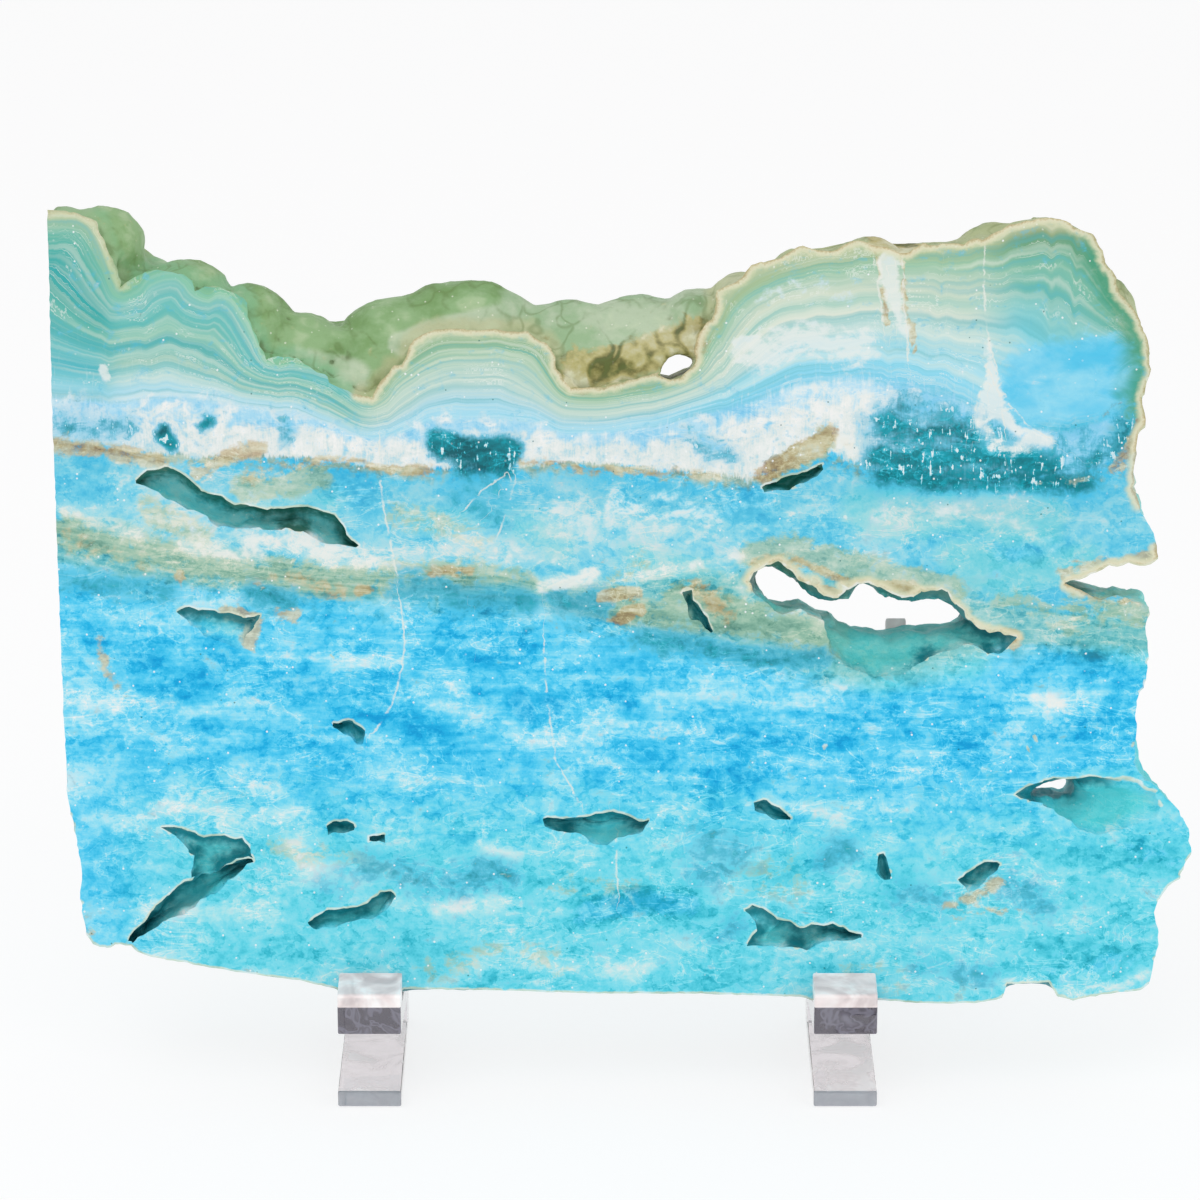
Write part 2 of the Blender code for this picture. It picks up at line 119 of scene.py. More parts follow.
# Coloured places on the face: strength, half width and soft edge, then the middle line, all in pixels
TEAL_MARKS = (
    (1.3, 5, 4, ((164, 432), (173, 444))),
    (1.2, 4, 5, ((205, 424),)),
    (0.6, 6, 5, ((283, 428), (286, 440))),
    (1.4, 10, 7, ((440, 444), (458, 450), (482, 453), (507, 453))),
    (1.1, 6, 8, ((462, 466), (505, 470))),
    (1.0, 8, 16, ((885, 425), (915, 430), (955, 432), (995, 446))),
    (1.2, 8, 12, ((880, 458), (930, 458), (1000, 458), (1050, 468))),
    (1.1, 7, 10, ((880, 474), (960, 478), (1085, 484))),
    (0.6, 8, 10, ((900, 405), (950, 412), (990, 425))),
    (0.7, 9, 9, ((1080, 470), (1110, 455), (1128, 425))),
    (0.55, 8, 8, ((55, 425), (90, 432), (128, 430))),
    (0.5, 14, 10, ((465, 495), (495, 515), (490, 490))),
    (0.6, 11, 8, ((560, 600), (600, 602))),
    (0.65, 8, 8, ((640, 636), (700, 648), (760, 655), (822, 660))),
    (0.55, 11, 9, ((400, 588), (440, 592), (525, 602))),
    (0.75, 9, 8, ((255, 592), (285, 600))),
    (0.5, 9, 9, ((60, 582), (130, 588), (165, 590))),
    (0.5, 12, 12, ((400, 872), (440, 882), (500, 872))),
    (0.4, 11, 10, ((330, 878), (380, 868))),
    (0.5, 13, 12, ((700, 842), (740, 852), (705, 872))),
    (0.6, 10, 10, ((822, 862), (842, 850))),
    (0.45, 12, 12, ((900, 892), (940, 902))),
    (0.5, 12, 12, ((1010, 880), (1042, 902))),
    (0.45, 10, 10, ((920, 970), (985, 975))),
    (0.5, 9, 8, ((720, 940), (735, 930))),
    (0.5, 7, 7, ((690, 440), (730, 455), (700, 450))),
    (0.4, 12, 12, ((1090, 440), (1060, 452))),
)
WHITE_MARKS = (
    (1.0, 16, 14, ((750, 350), (800, 340), (860, 348))),
    (0.5, 10, 12, ((744, 300), (790, 290), (850, 292))),
    (0.4, 30, 20, ((170, 500), (210, 510), (250, 520))),
    (0.5, 24, 20, ((560, 520), (640, 512), (700, 525))),
    (0.7, 12, 12, ((800, 395), (835, 388), (862, 395))),
    (0.42, 14, 6, ((1030, 382), (1062, 380))),
    (0.7, 2, 3, ((938, 600), (965, 622), (1000, 636))),
    (0.6, 7, 6, ((790, 604), (812, 606), (826, 618))),
    (0.8, 7, 6, ((245, 540), (290, 545), (335, 560))),
    (0.95, 6, 4, ((540, 584), (560, 582), (592, 576))),
    (0.8, 5, 4, ((455, 690), (461, 694))),
    (0.45, 7, 7, ((170, 806), (250, 824), (300, 812))),
    (0.5, 9, 8, ((240, 770), (272, 790))),
    (0.5, 14, 10, ((300, 850), (345, 880))),
    (0.6, 5, 5, ((440, 908), (500, 902))),
    (0.55, 3, 3, ((700, 560), (730, 576), (752, 604))),
    (0.5, 4, 5, ((745, 803), (800, 808), (842, 818))),
    (0.5, 7, 7, ((838, 816), (905, 802))),
    (0.35, 8, 8, ((880, 692), (760, 702), (640, 702))),
    (0.8, 5, 4, ((1036, 700), (1060, 706))),
    (0.55, 3, 4, ((950, 515), (1010, 522), (1062, 560))),
    (1.1, 10, 5, ((888, 262), (889, 280))),
    (1.1, 7, 5, ((891, 285), (894, 304))),
    (0.9, 4, 4, ((897, 308), (904, 336))),
    (1.2, 2, 3, ((989, 340), (988, 360))),
    (1.2, 5, 4, ((988, 366), (990, 384))),
    (1.2, 9, 5, ((988, 392), (996, 408))),
    (1.1, 4, 4, ((1002, 412), (1018, 430), (1046, 440))),
    (0.8, 5, 6, ((978, 408), (990, 440), (1010, 450), (1030, 446))),
    (1, 11, 4, ((848, 447),)),
    (0.9, 4, 3, ((105, 368), (110, 378))),
    (0.8, 8, 6, ((185, 545), (230, 548), (262, 552))),
    (0.75, 8, 8, ((285, 535), (330, 550), (370, 562))),
    (0.6, 6, 6, ((60, 512), (100, 522), (135, 535))),
    (0.5, 8, 8, ((380, 560), (480, 545), (560, 560))),
    (0.5, 5, 6, ((580, 700), (640, 730), (700, 732))),
    (0.45, 6, 8, ((420, 700), (520, 730), (600, 740))),
    (0.6, 4, 4, ((480, 843), (515, 856))),
    (0.5, 10, 8, ((820, 700), (850, 690))),
    (0.4, 9, 9, ((130, 640), (160, 625), (200, 598))),
    (0.5, 5, 6, ((250, 650), (330, 658), (400, 662))),
    (0.45, 6, 7, ((90, 700), (180, 712), (260, 705))),
    (0.6, 3, 4, ((1006, 985), (1060, 992), (1120, 985), (1148, 975))),
    (0.5, 8, 8, ((880, 515), (960, 510), (1020, 500))),
    (0.6, 5, 5, ((640, 575), (690, 565), (745, 560))),
    (0.5, 6, 6, ((470, 960), (560, 968), (650, 972))),
    (0.45, 10, 9, ((1010, 730), (1040, 715), (1090, 700))),
    (0.4, 8, 8, ((150, 905), (220, 918), (270, 912))),
)
TAN_MARKS = (
    (1, 4, 3, ((751, 580), (766, 567), (785, 566), (800, 583), (838, 598), (856, 590))),
    (1.3, 1, 1.5, ((876, 252), (880, 275), (884, 300), (886, 325))),
    (1.3, 1, 1.5, ((902, 252), (904, 285), (906, 312), (912, 352))),
    (1.2, 7, 4, ((880, 240), (896, 238), (912, 244))),
    (1, 6, 4, ((1072, 586), (1126, 566), (1158, 555))),
    (0.9, 3, 3, ((1000, 634), (1018, 635), (1012, 648))),
    (0.85, 5, 6, ((52, 446), (100, 450), (135, 457), (162, 462))),
    (0.9, 6, 5, ((198, 472), (225, 458), (256, 449))),
    (0.5, 6, 5, ((250, 478), (300, 464))),
    (0.85, 2.5, 3, ((300, 462), (340, 458), (400, 469), (432, 471))),
    (0.7, 3, 4, ((520, 463), (600, 468), (652, 471))),
    (0.5, 3, 4, ((650, 471), (720, 479))),
    (0.9, 8, 5, ((764, 474), (790, 462), (815, 446), (832, 436))),
    (1, 6, 4, ((876, 246), (890, 243), (911, 247))),
    (0.4, 9, 9, ((60, 532), (100, 550), (140, 562))),
    (0.65, 5, 4, ((180, 575),)),
    (0.5, 5, 5, ((255, 580), (300, 576), (342, 590))),
    (0.9, 3, 3, ((358, 592), (374, 589))),
    (0.95, 3, 3, ((430, 576), (448, 571), (470, 571))),
    (1, 4, 3, ((604, 597), (638, 590))),
    (1, 5, 3, ((617, 616), (628, 610), (638, 606))),
    (0.6, 9, 7, ((688, 586), (708, 592), (726, 612))),
    (0.9, 3, 4, ((756, 566), (790, 556), (842, 580), (890, 586), (930, 594))),
    (0.75, 4, 4, ((272, 612), (296, 615))),
    (0.75, 5, 4, ((1141, 418), (1131, 445), (1112, 468))),
    (0.75, 4, 4, ((948, 906), (985, 892), (1002, 880))),
    (0.3, 5, 7, ((1104, 472), (1060, 482), (1042, 478))),
    (0.7, 5, 4, ((1060, 572), (1100, 564), (1155, 560))),
    (0.6, 4, 5, ((1075, 594), (1105, 600), (1134, 603))),
    (0.8, 3, 3, ((92, 933),)),
    (1.2, 4, 3, ((848, 447),)),
    (0.5, 3, 3, ((950, 922), (990, 912), (1030, 912))),
    (0.5, 4, 4, ((100, 640), (110, 680), (135, 705))),
    (0.6, 3, 3, ((845, 808),)),
    (1, 13, 9, ((580, 372), (630, 362), (690, 340))),
    (1, 6, 4, ((228, 612), (258, 618), (252, 642))),
)
GREEN_MARKS = (
    (1.0, 6, 7, ((1104, 262), (1116, 285), (1130, 325), (1139, 372), (1136, 440))),
    (0.8, 13, 9, ((60, 530), (120, 548), (180, 560), (262, 574), (360, 582), (470, 576))),
    (0.8, 11, 7, ((245, 488), (320, 478))),
    (0.9, 9, 5, ((775, 470), (805, 456), (826, 440))),
    (0.65, 12, 8, ((150, 508), (200, 540))),
    (1.0, 15, 10, ((680, 600), (760, 622), (832, 640))),
    (0.8, 12, 10, ((560, 596), (620, 606), (690, 622))),
    (1.0, 10, 8, ((756, 556), (790, 548), (850, 566), (905, 580), (950, 590))),
    (0.7, 12, 9, ((1075, 606), (1140, 612))),
    (0.4, 12, 10, ((860, 664), (905, 662))),
    (0.45, 12, 12, ((430, 970), (480, 952), (560, 962))),
    (0.4, 14, 12, ((560, 880), (640, 900))),
    (0.5, 12, 10, ((400, 515), (440, 520), (480, 540))),
    (0.4, 20, 14, ((740, 870), (800, 880))),
    (0.6, 10, 8, ((430, 575), (480, 570), (530, 585))),
    (0.45, 10, 8, ((1000, 600), (1040, 610), (1080, 640))),
    (0.5, 8, 7, ((270, 850), (330, 855), (420, 880))),
    (0.35, 16, 12, ((850, 970), (960, 985))),
    (0.5, 9, 8, ((640, 560), (600, 605), (640, 625))),
)
AZURE_MARKS = (
    (1.1, 34, 16, ((1040, 386), (1100, 376))),
    (0.6, 12, 12, ((620, 500), (700, 506), (765, 498))),
    (0.9, 9, 5, ((520, 700), (526, 712))),
    (0.8, 9, 5, ((548, 702), (556, 706))),
    (0.6, 10, 9, ((575, 700), (625, 702))),
    (0.6, 12, 12, ((100, 640), (150, 662))),
    (0.6, 10, 10, ((275, 682), (335, 690))),
    (0.55, 10, 10, ((700, 735), (800, 742), (900, 722))),
    (0.6, 10, 10, ((960, 748), (1100, 722))),
    (0.85, 10, 9, ((585, 912), (640, 904), (690, 904))),
    (0.5, 10, 10, ((1080, 650), (1130, 665))),
    (0.5, 14, 12, ((800, 720), (860, 712))),
    (0.55, 14, 12, ((460, 640), (520, 650))),
    (0.5, 14, 12, ((340, 490), (370, 500))),
    (0.5, 12, 12, ((700, 780), (760, 770))),
    (0.5, 12, 10, ((1000, 560), (1050, 545))),
    (0.55, 12, 12, ((230, 660), (160, 700))),
    (0.5, 14, 14, ((380, 700), (440, 740))),
    (0.5, 12, 12, ((1140, 850), (1170, 860))),
    (0.5, 12, 12, ((1060, 970), (1130, 960))),
    (0.4, 14, 14, ((100, 850), (120, 900))),
)
CREAM_RIM = (
    (0.36, 9, 6, ((48, 209), (76, 211), (99, 228), (110, 256), (123, 285))),
    (1, 14, 8, ((372, 397), (405, 355), (433, 333), (497, 330), (543, 341), (558, 369), (563, 381), (690, 372))),
    (1, 14, 8, ((692, 366), (715, 308), (752, 269), (876, 246), (912, 250), (984, 238), (1042, 219), (1091, 234),
                (1119, 292), (1146, 333), (1143, 425), (1133, 491))),
    (0.9, 12, 6, ((750, 576), (765, 564), (785, 562), (800, 580), (838, 592), (856, 584))),
    (0.6, 9, 6, ((870, 584), (900, 590), (938, 596), (978, 626), (1018, 633))),
    (1, 9, 5, ((1072, 588), (1126, 566), (1158, 555))),
)
AQUA_MARKS = (
    (1, 22, 14, ((872, 505), (950, 508), (1040, 520))),
    (0.9, 16, 12, ((960, 555), (1010, 580), (1080, 560))),
    (0.8, 20, 16, ((1090, 630), (1140, 640))),
    (1, 22, 14, ((820, 645), (880, 665), (960, 650))),
    (0.8, 14, 12, ((60, 418), (120, 420))),
    (0.7, 12, 12, ((420, 520), (500, 515), (560, 545))),
    (0.8, 16, 12, ((640, 560), (700, 575), (760, 620))),
    (0.6, 14, 12, ((250, 500), (330, 500))),
    (0.8, 22, 14, ((1080, 800), (1150, 800))),
    (0.9, 18, 12, ((1050, 440), (1100, 430), (1120, 400))),
)
PALE_SKIN = (
    (1, 30, 20, ((540, 320), (620, 315), (700, 300))),
    (0.9, 8, 6, ((400, 345), (440, 330), (500, 318), (560, 322))),
    (0.8, 14, 10, ((300, 370), (350, 380))),
)

# Cracks in the face, as pixels of the view
CRACKS = (
    ((617, 838), (616, 865), (618, 892)),
    ((989, 338), (987, 360), (982, 385), (976, 408)),
    ((990, 345), (998, 375), (1010, 405), (1028, 425), (1046, 437)),
    ((987, 366), (1001, 398), (1004, 424)),
    ((872, 250), (877, 280), (884, 320)),
    ((903, 250), (904, 290), (908, 360)),
    ((465, 510), (480, 492), (505, 475)),
    ((495, 540), (502, 525), (515, 482)),
    ((379, 440), (381, 490), (385, 515), (391, 545), (396, 572)),
    ((400, 600), (405, 640), (402, 668), (392, 705), (374, 732)),
    ((879, 262), (880, 290), (883, 326)),
    ((902, 258), (903, 300), (909, 352)),
    ((544, 640), (546, 690), (556, 760), (578, 800)),
    ((985, 232), (984, 290), (988, 335)),
)


def tint(red, green, blue):
    """Return a linear colour for one given in the 0 to 255 steps of a screen."""
    levels = [value / 255 for value in (red, green, blue)]
    return tuple(v / 12.92 if v <= 0.04045 else ((v + 0.055) / 1.055) ** 2.4 for v in levels)


def colour_property(name, description, default):
    return FloatVectorProperty(
        name=name, description=description, subtype="COLOR", size=3, min=0, max=1, default=default
    )


class SlabLooks(PropertyGroup):
    body_blue: colour_property("Body blue", "Blue of the lower body", tint(88, 196, 232))
    deep_blue: colour_property("Deep blue", "Deepest blue of the body", tint(24, 164, 214))
    veil: colour_property("Veil", "Milky white of the clouded streaks", tint(205, 236, 244))
    turquoise: colour_property("Turquoise", "Turquoise of the lowest layers", tint(112, 208, 218))
    dark_teal: colour_property("Dark teal", "Deep teal patches under the fringe", tint(20, 118, 116))
    cream: colour_property("Cream", "Cream of the edges and growth lines", tint(226, 224, 188))
    tan: colour_property("Tan", "Tan and brown stains", tint(186, 158, 108))
    sky: colour_property("Sky blue", "Light blue above the white fringe", tint(158, 222, 246))
    belt_green: colour_property("Belt green", "Grey green of the belt", tint(146, 188, 160))
    skin_green: colour_property("Skin green", "Waxy green of the natural skin", tint(150, 186, 134))
    roughness: FloatProperty(name="Roughness", description="Roughness of the polished face", default=0.2,
                             min=0, max=1, subtype="FACTOR")
    skin_relief: FloatProperty(name="Skin relief", description="Height of the skin's small lumps in millimetres",
                               default=0.7, min=0, max=2)


class StandLooks(PropertyGroup):
    tint: colour_property("Tint", "Faint tint of the clear acrylic", tint(248, 244, 246))
    depth: colour_property("Depth", "Colour that the acrylic takes on where it is thick", (0.12, 0.08, 0.14))
    density: FloatProperty(name="Density", description="Darkening of thick acrylic, for each metre", default=9,
                           min=0, max=200)
    edge: FloatProperty(name="Edge", description="Rounding of the stands' edges", default=0.0005, min=0.0001,
                        max=0.002, unit="LENGTH")


class StageLooks(PropertyGroup):
    floor: colour_property("Floor", "Colour of the floor", tint(140, 140, 141))
    glow: FloatProperty(name="Glow", description="Light that the floor gives of itself", default=0.76, min=0, max=1)
    light: FloatProperty(name="Light", description="Strength of the soft surroundings", default=0.66, min=0, max=3)


class Link:
    """A shader socket that takes part in Python arithmetic."""

    def __init__(self, recipe, socket):
        self.recipe = recipe
        self.socket = socket

    def calculate(self, operation, *values):
        return self.recipe.node("ShaderNodeMath", {"operation": operation}, dict(enumerate(values)))

    def __add__(self, other):
        return self.calculate("ADD", self, other)

    def __sub__(self, other):
        return self.calculate("SUBTRACT", self, other)

    def __rsub__(self, other):
        return self.calculate("SUBTRACT", other, self)

    def __mul__(self, other):
        return self.calculate("MULTIPLY", self, other)

    def __truediv__(self, other):
        return self.calculate("DIVIDE", self, other)

    def __abs__(self):
        return self.calculate("ABSOLUTE", self)

    def output(self, name):
        """Return another output of the same node."""
        return Link(self.recipe, self.socket.node.outputs[name])

    __radd__ = __add__
    __rmul__ = __mul__


class Recipe:
    """A material and the nodes that make it."""

    def __init__(self, name):
        self.material = bpy.data.materials.new(name)
        self.material.use_nodes = True
        self.tree = self.material.node_tree
        self.tree.nodes.clear()

    def node(self, kind, settings=None, sockets=None, output=0):
        """Add a node, set it up, fill or link its sockets, and return one of its outputs."""
        made = self.tree.nodes.new(kind)
        for name, value in (settings or {}).items():
            if name == "stops":
                self.set_stops(made.color_ramp.elements, value)
            else:
                setattr(made, name, value)
        for key, value in (sockets or {}).items():
            socket = made.inputs[key]
            if isinstance(value, Link):
                self.tree.links.new(value.socket, socket)
            elif socket.type == "RGBA" and len(value) == 3:
                socket.default_value = (*value, 1)
            else:
                socket.default_value = value
        return Link(self, made.outputs[output])

    @staticmethod
    def set_stops(elements, stops):
        while len(elements) < len(stops):
            elements.new(1)
        for element, (place, colour) in zip(elements, stops):
            element.position = place
            element.color = (*colour, 1)

    def smooth(self, value, start, end):
        """Return 0 before start and 1 after end, with a soft step between."""
        if start > end:
            return 1 - self.smooth(value, end, start)
        return self.node("ShaderNodeMapRange", {"interpolation_type": "SMOOTHSTEP"}, {0: value, 1: start, 2: end})

    def mix(self, factor, first, second):
        return self.node("ShaderNodeMix", {"data_type": "RGBA"}, {0: factor, 6: first, 7: second}, 2)

    def multiply(self, factor, first, second):
        settings = {"data_type": "RGBA", "blend_type": "MULTIPLY"}
        return self.node("ShaderNodeMix", settings, {0: factor, 6: first, 7: second}, 2)

    def ramp(self, value, stops):
        return self.node("ShaderNodeValToRGB", {"stops": stops}, {0: value})

    def noise(self, place, size, detail=3, rough=0.5, seed=0, distortion=0):
        """Return cloudy noise whose patches are about size millimetres across each axis."""
        scaled = self.node(
            "ShaderNodeVectorMath",
            {"operation": "MULTIPLY_ADD"},
            {0: place, 1: tuple(1 / s for s in size), 2: (seed * 7.3, seed * 3.1, seed * 5.7)},
        )
        values = {"Vector": scaled, "Scale": 1, "Detail": detail, "Roughness": rough, "Distortion": distortion}
        return self.node("ShaderNodeTexNoise", None, values)

    def attribute(self, name, output="Fac"):
        return self.node("ShaderNodeAttribute", {"attribute_name": name}, None, output)

    def axes(self, vector):
        first = self.node("ShaderNodeSeparateXYZ", None, {0: vector})
        return [first.output(axis) for axis in "XYZ"]

    def principled(self, sockets):
        return self.node("ShaderNodeBsdfPrincipled", None, sockets)

    def finish(self, surface, volume=None):
        """End the recipe in a surface shader, and in a volume where one is given."""
        output = self.tree.nodes.new("ShaderNodeOutputMaterial")
        self.tree.links.new(surface.socket, output.inputs["Surface"])
        if volume:
            self.tree.links.new(volume.socket, output.inputs["Volume"])
        return self.material


def on_face(pixel):
    """Return where a pixel of the view falls on the polished face, in millimetres across and up."""
    reach = LENS / SENSOR * VIEW_WIDTH
    ray = Vector((pixel[0] - VIEW_WIDTH / 2, VIEW_WIDTH / 2 - pixel[1], -reach))
    ray.rotate(Euler((CAMERA_PITCH, 0, 0)))
    normal = SLAB_FRAME.to_3x3() @ Vector((0, -1, 0))
    hit = geometry.intersect_line_plane(CAMERA_PLACE, CAMERA_PLACE + ray, FACE_FOOT, normal)
    across, _, up = SLAB_FRAME.inverted() @ hit
    return across, up


def face_line(pixels):
    return np.array([on_face(pixel) for pixel in pixels])


def line_distance(points, line):
    """Return each point's distance to a line of points, and the side of it that the point is on."""
    best = np.full(len(points), 1e9)
    side = np.ones(len(points))
    if len(line) == 1:
        return np.hypot(*(points - line[0]).T), side
    for start, end in zip(line, line[1:]):
        span = end - start
        away = points - start
        part = np.clip(away @ span / (span @ span), 0, 1)
        distance = np.hypot(*(away - part[:, None] * span).T)
        nearer = distance < best
        best[nearer] = distance[nearer]
        side[nearer] = np.sign(span[0] * away[nearer, 1] - span[1] * away[nearer, 0])
    return best, side


def mark_mask(points, marks):
    """Return how strongly each point lies in a set of coloured places."""
    mask = np.zeros(len(points))
    for strength, half, soft, pixels in marks:
        distance, _ = line_distance(points, face_line(pixels))
        part = np.clip((half + 2 * soft - distance / PIXEL_MM) / (3 * soft), 0, 1)
        mask = np.maximum(mask, strength * part * part * (3 - 2 * part))
    return mask


def crack_field(points):
    """Return each point's signed distance to the nearest crack."""
    best = np.full(len(points), 50.0)
    for pixels in CRACKS:
        distance, side = line_distance(points, face_line(pixels))
        nearer = distance < abs(best)
        best[nearer] = (distance * side)[nearer]
    return best


def flowing(pixels):
    """Return a line of the face with its corners rounded, as points half a millimetre apart."""
    line = face_line(pixels)
    steps = np.concatenate([[0], np.cumsum(np.hypot(*np.diff(line, axis=0).T))])
    places = np.arange(0, steps[-1], 0.5)
    weights = np.hanning(17) / np.hanning(17).sum()
    rows = [np.pad(np.interp(places, steps, row), 8, "edge") for row in line.T]
    return np.stack([np.convolve(row, weights, "valid") for row in rows], axis=1)


def growth_layer(points):
    """Return the growth layer: 0 on the rim, 1 at the fringe, and one more at each horizon below."""
    across, up = points.T
    heights = [np.interp(across, *flowing(pixels).T) for pixels in HORIZONS]
    rim, fringe = [nearest([Vector((x, 0, z)) for x, z in flowing(pixels)], points)
                   for pixels in (GROWTH_RIM, FRINGE_TOP)]
    layer = rim / (rim + fringe + 1e-6)
    for index, (top, foot) in enumerate(zip(heights, heights[1:])):
        part = np.clip((top - up) / (top - foot), 0, 1)
        layer = np.where(up < top, index + 1 + part, layer)
    return layer


def local_mesh(node):
    """Return a merged copy of a CAD node, in the slab's own millimetres."""
    data = bmesh.new()
    data.from_mesh(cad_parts[node].data)
    bmesh.ops.remove_doubles(data, verts=data.verts, dist=1e-7)
    bmesh.ops.transform(data, matrix=SLAB_FRAME.inverted(), verts=data.verts)
    return data


def on_front(face):
    return face.normal.y < -0.999 and abs(face.calc_center_median().y) < 0.05


def on_back(face):
    return face.normal.y > 0.999 and abs(face.calc_center_median().y - THICKNESS) < 0.05


def cut_grid(data, geom, axis, step, offset=0.0):
    """Cut geometry by evenly spaced planes square to one axis."""
    places = [vert.co[axis] for vert in data.verts]
    first = math.floor((min(places) - offset) / step)
    last = math.ceil((max(places) - offset) / step)
    normal = Vector((0, 0, 0))
    normal[axis] = 1
    for index in range(first, last + 1):
        cut = bmesh.ops.bisect_plane(
            data, geom=geom, dist=0.02, plane_co=normal * (offset + index * step), plane_no=normal
        )
        geom = cut["geom"]
    return geom


def parts_of(faces):
    """Return faces with their edges and corners, as bisect_plane takes them."""
    edges = {edge for face in faces for edge in face.edges}
    verts = {vert for edge in edges for vert in edge.verts}
    return list(faces) + list(edges) + list(verts)


def refine(data):
    """Cut the slab into small faces, finest on its polished front."""
    everything = data.verts[:] + data.edges[:] + data.faces[:]
    for axis in range(3):
        everything = cut_grid(data, everything, axis, COARSE_STEP)
    front = parts_of([face for face in data.faces if on_front(face)])
    for axis in (0, 2):
        front = cut_grid(data, front, axis, COARSE_STEP, FINE_STEP)
    bmesh.ops.triangulate(data, faces=data.faces[:])
    bmesh.ops.remove_doubles(data, verts=data.verts, dist=0.03)


def smooth_once(data, verts):
    bmesh.ops.smooth_vert(data, verts=verts, factor=0.5, use_axis_x=True, use_axis_y=True, use_axis_z=True)


def wander(place):
    """Return the small sideways wander of every outline, which dies away at the sawn edge and the foot."""
    part = min(max((place.z - 8) / 10, 0), 1) * min(max((place.x - SAWN_EDGE) / 8, 0), 1)
    if place.z > SKIN_FOOT:
        part *= 1 - 0.7 * min(place.y / 6, 1)
    move = noise.noise_vector(place / 6) * 1.7 + noise.noise_vector(place / 2.4) * 0.7
    return Vector((move.x, 0, move.z)) * part


def weather(data, relief):
    """Round the natural skin's facets, and give it and the face's outline their small unevenness."""
    front = {vert for face in data.faces if on_front(face) for vert in face.verts}
    back = {vert for face in data.faces if on_back(face) for vert in face.verts}
    natural = [vert for vert in data.verts if vert not in front and vert not in back]
    skin = [vert for vert in natural if vert.co.z > SKIN_FOOT]
    for _ in range(8):
        smooth_once(data, skin)
    for _ in range(3):
        smooth_once(data, natural)
    data.normal_update()
    moves = {}
    for vert in data.verts:
        vert.co += wander(vert.co)
    for vert in data.verts:
        flat = vert in front or vert in back
        if flat and all(on_front(face) or on_back(face) for face in vert.link_faces):
            continue
        normal = vert.normal.copy()
        if flat:
            normal.y = 0
            if normal.length < 0.05:
                continue
            normal.normalize()
            moves[vert] = normal * noise.noise(vert.co / 1.7) * 0.3
        else:
            lump = noise.voronoi(vert.co / 9)[0][0]
            height = (0.35 - lump) * relief * 1.4 + 0.35 * relief * noise.noise(vert.co / 3)
            moves[vert] = normal * height
    for vert, move in moves.items():
        vert.co += move


def set_attribute(mesh, name, domain, values, kind="FLOAT"):
    made = mesh.attributes.new(name, kind, domain)
    key = "color" if kind == "FLOAT_COLOR" else "value"
    made.data.foreach_set(key, np.asarray(values, dtype=np.float32).ravel())


def nearest(places, points):
    """Return each point's distance in the face to the nearest of some places."""
    tree = kdtree.KDTree(len(places))
    for index, place in enumerate(places):
        tree.insert(place, index)
    tree.balance()
    return np.array([tree.find((x, 0, z))[2] for x, z in points])


def places_of(mesh):
    places = np.empty(len(mesh.vertices) * 3)
    mesh.vertices.foreach_get("co", places)
    return places.reshape(-1, 3)


def mark_slab(mesh, edges, roofs):
    """Store the growth layers, and the distances to the rims and to the roof edges, as attributes of the slab's mesh;
    the roof distance places painted shade and highlights.
    """
    points = places_of(mesh)[:, (0, 2)]
    set_attribute(mesh, "layer", "POINT", growth_layer(points))
    set_attribute(mesh, "rim", "POINT", nearest(edges, points))
    set_attribute(mesh, "roof", "POINT", nearest(roofs, points))
    mark_places(mesh)


def mark_places(mesh):
    """Store the coloured places and cracks as attributes of the slab's mesh."""
    places = places_of(mesh)
    points = places[:, (0, 2)]
    set_attribute(mesh, "crack", "POINT", crack_field(points))
    drift = np.array([noise.noise_vector(Vector(place) / 13) * 3 + noise.noise_vector(Vector(place) / 4) * 1.6
                      for place in places])
    strayed = points + drift[:, (0, 2)] * 0.5
    first = [mark_mask(strayed, marks) for marks in (TEAL_MARKS, WHITE_MARKS, TAN_MARKS, GREEN_MARKS)]
    second = [mark_mask(strayed, AZURE_MARKS), mark_mask(points, CREAM_RIM), mark_mask(points, PALE_SKIN),
              mark_mask(strayed, AQUA_MARKS)]
    set_attribute(mesh, "stains", "POINT", np.stack(first, axis=1), "FLOAT_COLOR")
    set_attribute(mesh, "tones", "POINT", np.stack(second, axis=1), "FLOAT_COLOR")


def build_slab(looks):
    noise.seed_set(NOISE_SEED)
    data = local_mesh("slab")
    refine(data)
    weather(data, looks.skin_relief)
    data.normal_update()
    data.faces.ensure_lookup_table()
    front = [on_front(face) for face in data.faces]
    back = [on_back(face) for face in data.faces]
    edges = []
    roofs = []
    for edge in data.edges:
        sides = [front[face.index] for face in edge.link_faces]
        if len(sides) == 2 and sides[0] != sides[1]:
            centre = (edge.verts[0].co + edge.verts[1].co) / 2
            places = [centre, edge.verts[0].co.copy()]
            edges += places
            # Roof edges are front edges with stone above the hollow; painted shade below them and a painted highlight
            # along them are placed by distance to these edges
            stone = edge.link_faces[sides.index(True)].calc_center_median() - centre
            span = (edge.verts[1].co - edge.verts[0].co).normalized()
            if (stone - span * stone.dot(span)).normalized().z > 0.35:
                roofs += places
            edge.smooth = False
        elif len(sides) == 2 and edge.calc_face_angle(0) > math.radians(50):
            edge.smooth = False
    for face in data.faces:
        face.smooth = True
    mesh = bpy.data.meshes.new("banded_slab")
    data.to_mesh(mesh)
    set_attribute(mesh, "polished", "FACE", front)
    set_attribute(mesh, "sawn", "FACE", back)
    mark_slab(mesh, edges, roofs)
    data.free()
    mesh.transform(SLAB_FRAME)
    mesh.materials.append(stone_material(looks))
    return mesh


